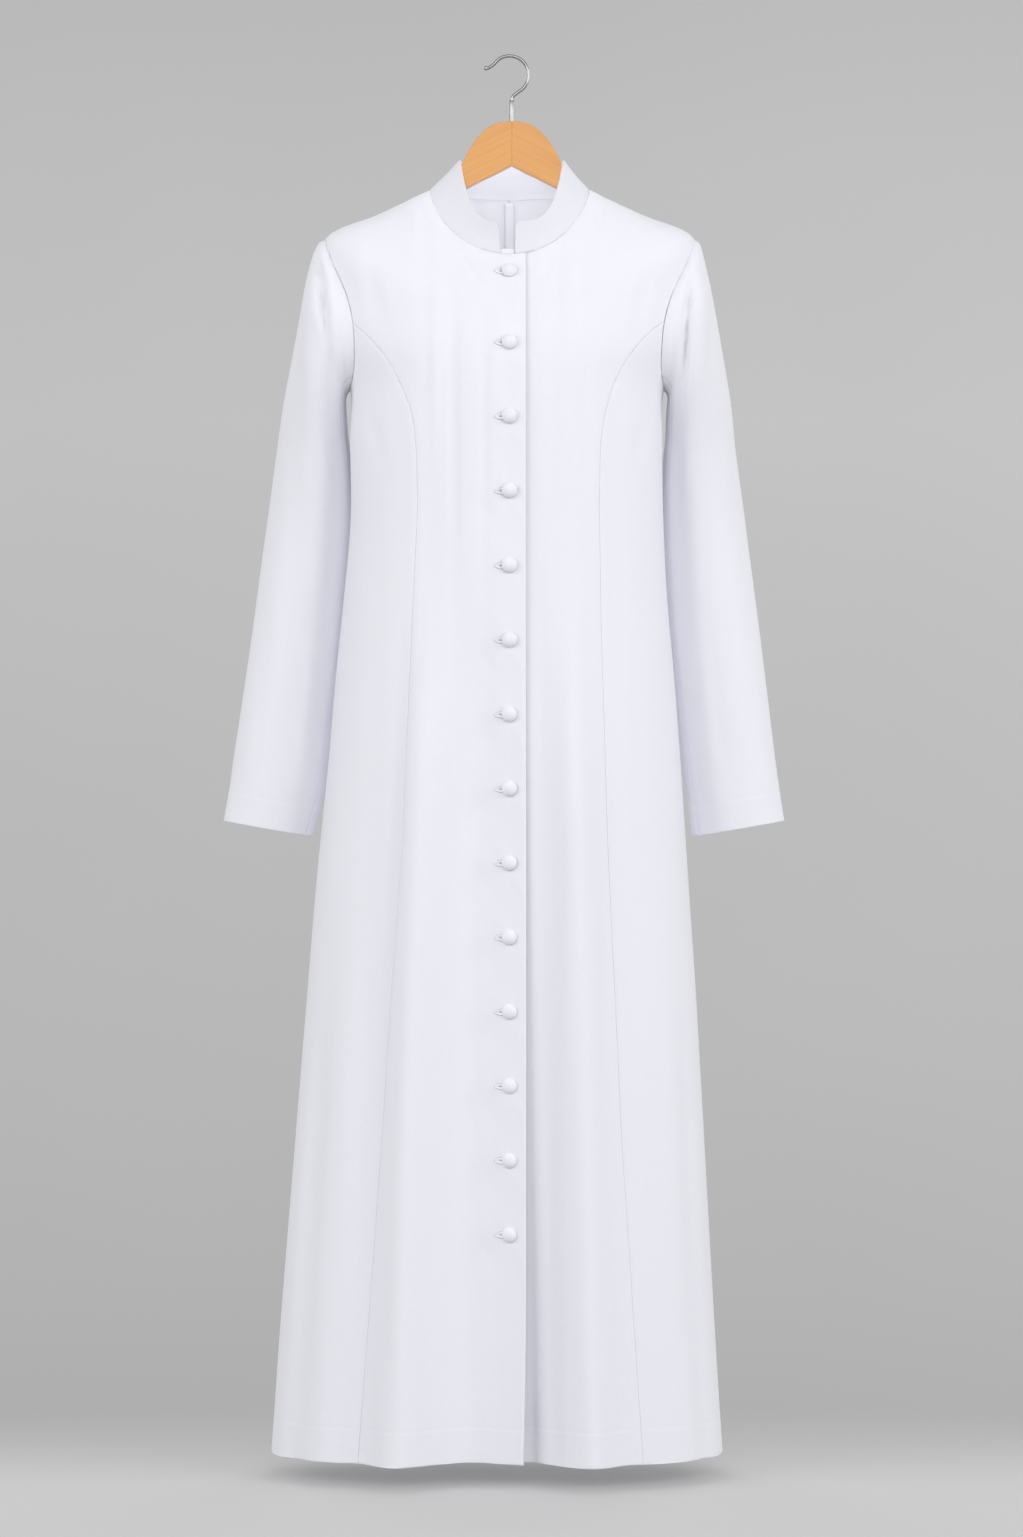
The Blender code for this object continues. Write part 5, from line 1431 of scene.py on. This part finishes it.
floor_work = bmesh.new()
bmesh.ops.create_grid(floor_work, x_segments=FLOOR_CELLS, y_segments=FLOOR_CELLS, size=FLOOR_REACH)
bmesh.ops.translate(floor_work, verts=floor_work.verts, vec=(0, 0, FLOOR_Z))
floor_mesh = mesh_from("floor", floor_work)
floor = add_object("floor", floor_mesh)
floor.visible_diffuse = False
floor_paint = new_material("floor", (0.46, 0.46, 0.46), 0.95, Specular_IOR_Level=0.1,
                           Emission_Color=(1.0, 1.0, 1.0, 1.0), Emission_Strength=FLOOR_PAINTED_GLOW)
floor_place = add_node(floor_paint, "ShaderNodeMapping", {
    "Vector": own_place(floor_paint), "Location": FLOOR_MIDDLE, "Scale": FLOOR_STRETCH}).outputs["Vector"]
floor_away = add_node(floor_paint, "ShaderNodeVectorMath", {0: floor_place}, operation="LENGTH")
floor_fade = add_node(floor_paint, "ShaderNodeMapRange", {
    "Value": floor_away.outputs["Value"], "From Min": FLOOR_FADE_FROM, "From Max": FLOOR_FADE_TO,
    "To Min": 1.0, "To Max": 0.0}, interpolation_type="SMOOTHSTEP")
into_shader(floor_paint, "Alpha", floor_fade.outputs["Result"])
floor_mesh.materials.append(floor_paint)
print("floor at", FLOOR_Z)

# %% Background
# Grey of the background for the sine of the direction's height, from low to high
BACKDROP_STOPS = ((-0.175, 0.425), (-0.135, 0.455), (-0.08, 0.480), (0.0, 0.505), (0.09, 0.545),
                  (0.15, 0.520), (0.20, 0.490))
BACKDROP_COOL, BACKDROP_CLOUD, BACKDROP_CLOUD_SCALE = 1.004, 0.06, 9.0
BACKDROP_SIDE, BACKDROP_DARK_SIDE = 0.15, 0.945

world = bpy.data.worlds.new("studio")
world.use_nodes = True
bpy.context.scene.world = world
bpy.context.scene.view_settings.view_transform = "Standard"
backdrop = world.node_tree.nodes["Background"]
sky_way = add_node(world, "ShaderNodeTexCoord").outputs["Generated"]
sky_parts = add_node(world, "ShaderNodeSeparateXYZ", {"Vector": sky_way}).outputs
sky_low, sky_high = BACKDROP_STOPS[0][0], BACKDROP_STOPS[-1][0]
sky_height = add_node(world, "ShaderNodeMapRange", {
    "Value": sky_parts["Z"], "From Min": sky_low, "From Max": sky_high}).outputs["Result"]
sky_grey = colour_ramp(world, sky_height, [
    ((place - sky_low) / (sky_high - sky_low), (grey, grey, grey * BACKDROP_COOL))
    for place, grey in BACKDROP_STOPS])
sky_cloud = add_noise(world, sky_way, BACKDROP_CLOUD_SCALE, Detail=3.0)
sky_side = add_node(world, "ShaderNodeMapRange", {
    "Value": sky_parts["X"], "From Min": -BACKDROP_SIDE, "From Max": BACKDROP_SIDE,
    "To Min": BACKDROP_DARK_SIDE, "To Max": 1.0}).outputs["Result"]
sky_strength = add_node(world, "ShaderNodeMath", {0: sky_cloud, 1: BACKDROP_CLOUD, 2: sky_side},
                        operation="MULTIPLY_ADD")
world.node_tree.links.new(sky_grey, backdrop.inputs["Color"])
world.node_tree.links.new(sky_strength.outputs[0], backdrop.inputs["Strength"])
print("background greys:", len(BACKDROP_STOPS))

# %% Lights
# Each light: name, place, what it looks at, width, height and power
LIGHT_ROWS = (
    ("front", (0.0, -5.0, 1.5), (0.0, 0.0, -0.5), 3.8, 2.4, 78.0),
    ("right side", (-4.1, -2.8, 0.6), (0.0, 0.0, -0.5), 3.0, 3.5, 82.0),
    ("left side", (4.1, -2.8, 0.6), (0.0, 0.0, -0.5), 3.5, 3.5, 104.0),
    ("inside the neck", (0.0, -0.035, -0.235), (0.0, 0.055, -0.195), 0.05, 0.03, 0.041),
    ("rear right", (-2.8, 4.2, 0.8), (0.0, 0.0, -0.6), 2.5, 3.0, 40.0),
    ("rear left", (2.8, 4.2, 0.8), (0.0, 0.0, -0.6), 2.5, 3.0, 40.0),
)
for name, place, target, width, height, power in LIGHT_ROWS:
    light = bpy.data.lights.new(name, "AREA")
    light.shape = "RECTANGLE"
    light.size, light.size_y, light.energy = width, height, power
    lamp = add_object(name, light)
    lamp.location = place
    lamp.rotation_euler = (Vector(target) - Vector(place)).to_track_quat("-Z", "Y").to_euler()
    lamp.visible_camera = False
print("lights:", [row[0] for row in LIGHT_ROWS])

# %% [markdown]
# ## What each piece is
#
# Last, each cloth piece's cut size and flat area are listed, and the area of its sheet is printed
# beside the flat area.

# %% Cut sizes
# Each cloth piece: width and length of the cut, its flat area with the turned-up hem, and what it
# rests on or is sewn to
CLOTH_CUTS = {
    "front_right": (0.220, 1.370, 0.206, ("beech_arm_right", "cloth_front_left")),
    "front_left": (0.220, 1.370, 0.199, ("beech_arm_left",)),
    "side_front_right": (0.170, 1.220, 0.149, ("cloth_front_right",)),
    "side_front_left": (0.170, 1.220, 0.145, ("cloth_front_left",)),
    "back_right": (0.330, 1.370, 0.335, ("beech_arm_right",)),
    "back_left": (0.310, 1.370, 0.318, ("beech_arm_left",)),
    "sleeve_upper_right": (0.220, 0.680, 0.110, ("cloth_front_right", "cloth_back_right")),
    "sleeve_upper_left": (0.220, 0.680, 0.109, ("cloth_front_left", "cloth_back_left")),
    "sleeve_under_right": (0.130, 0.600, 0.057, ("cloth_sleeve_upper_right",)),
    "sleeve_under_left": (0.130, 0.600, 0.057, ("cloth_sleeve_upper_left",)),
    "collar": (0.520, 0.050, 0.0152, ("cloth_front_right", "cloth_front_left", "cloth_back_right",
                                      "cloth_back_left")),
    "neck_facing": (0.015, 0.010, 0.00008, ("cloth_front_left",)),
    "back_seam_tape": (0.010, 1.300, 0.0125, ("cloth_back_right", "cloth_back_left")),
}

for name, piece in made.items():
    if name.startswith("cloth_"):
        width, length, area, rests_on = CLOTH_CUTS[name.removeprefix("cloth_")]
        print(name, "area", round(sum(face.area for face in piece.data.polygons), 5), "of", area)
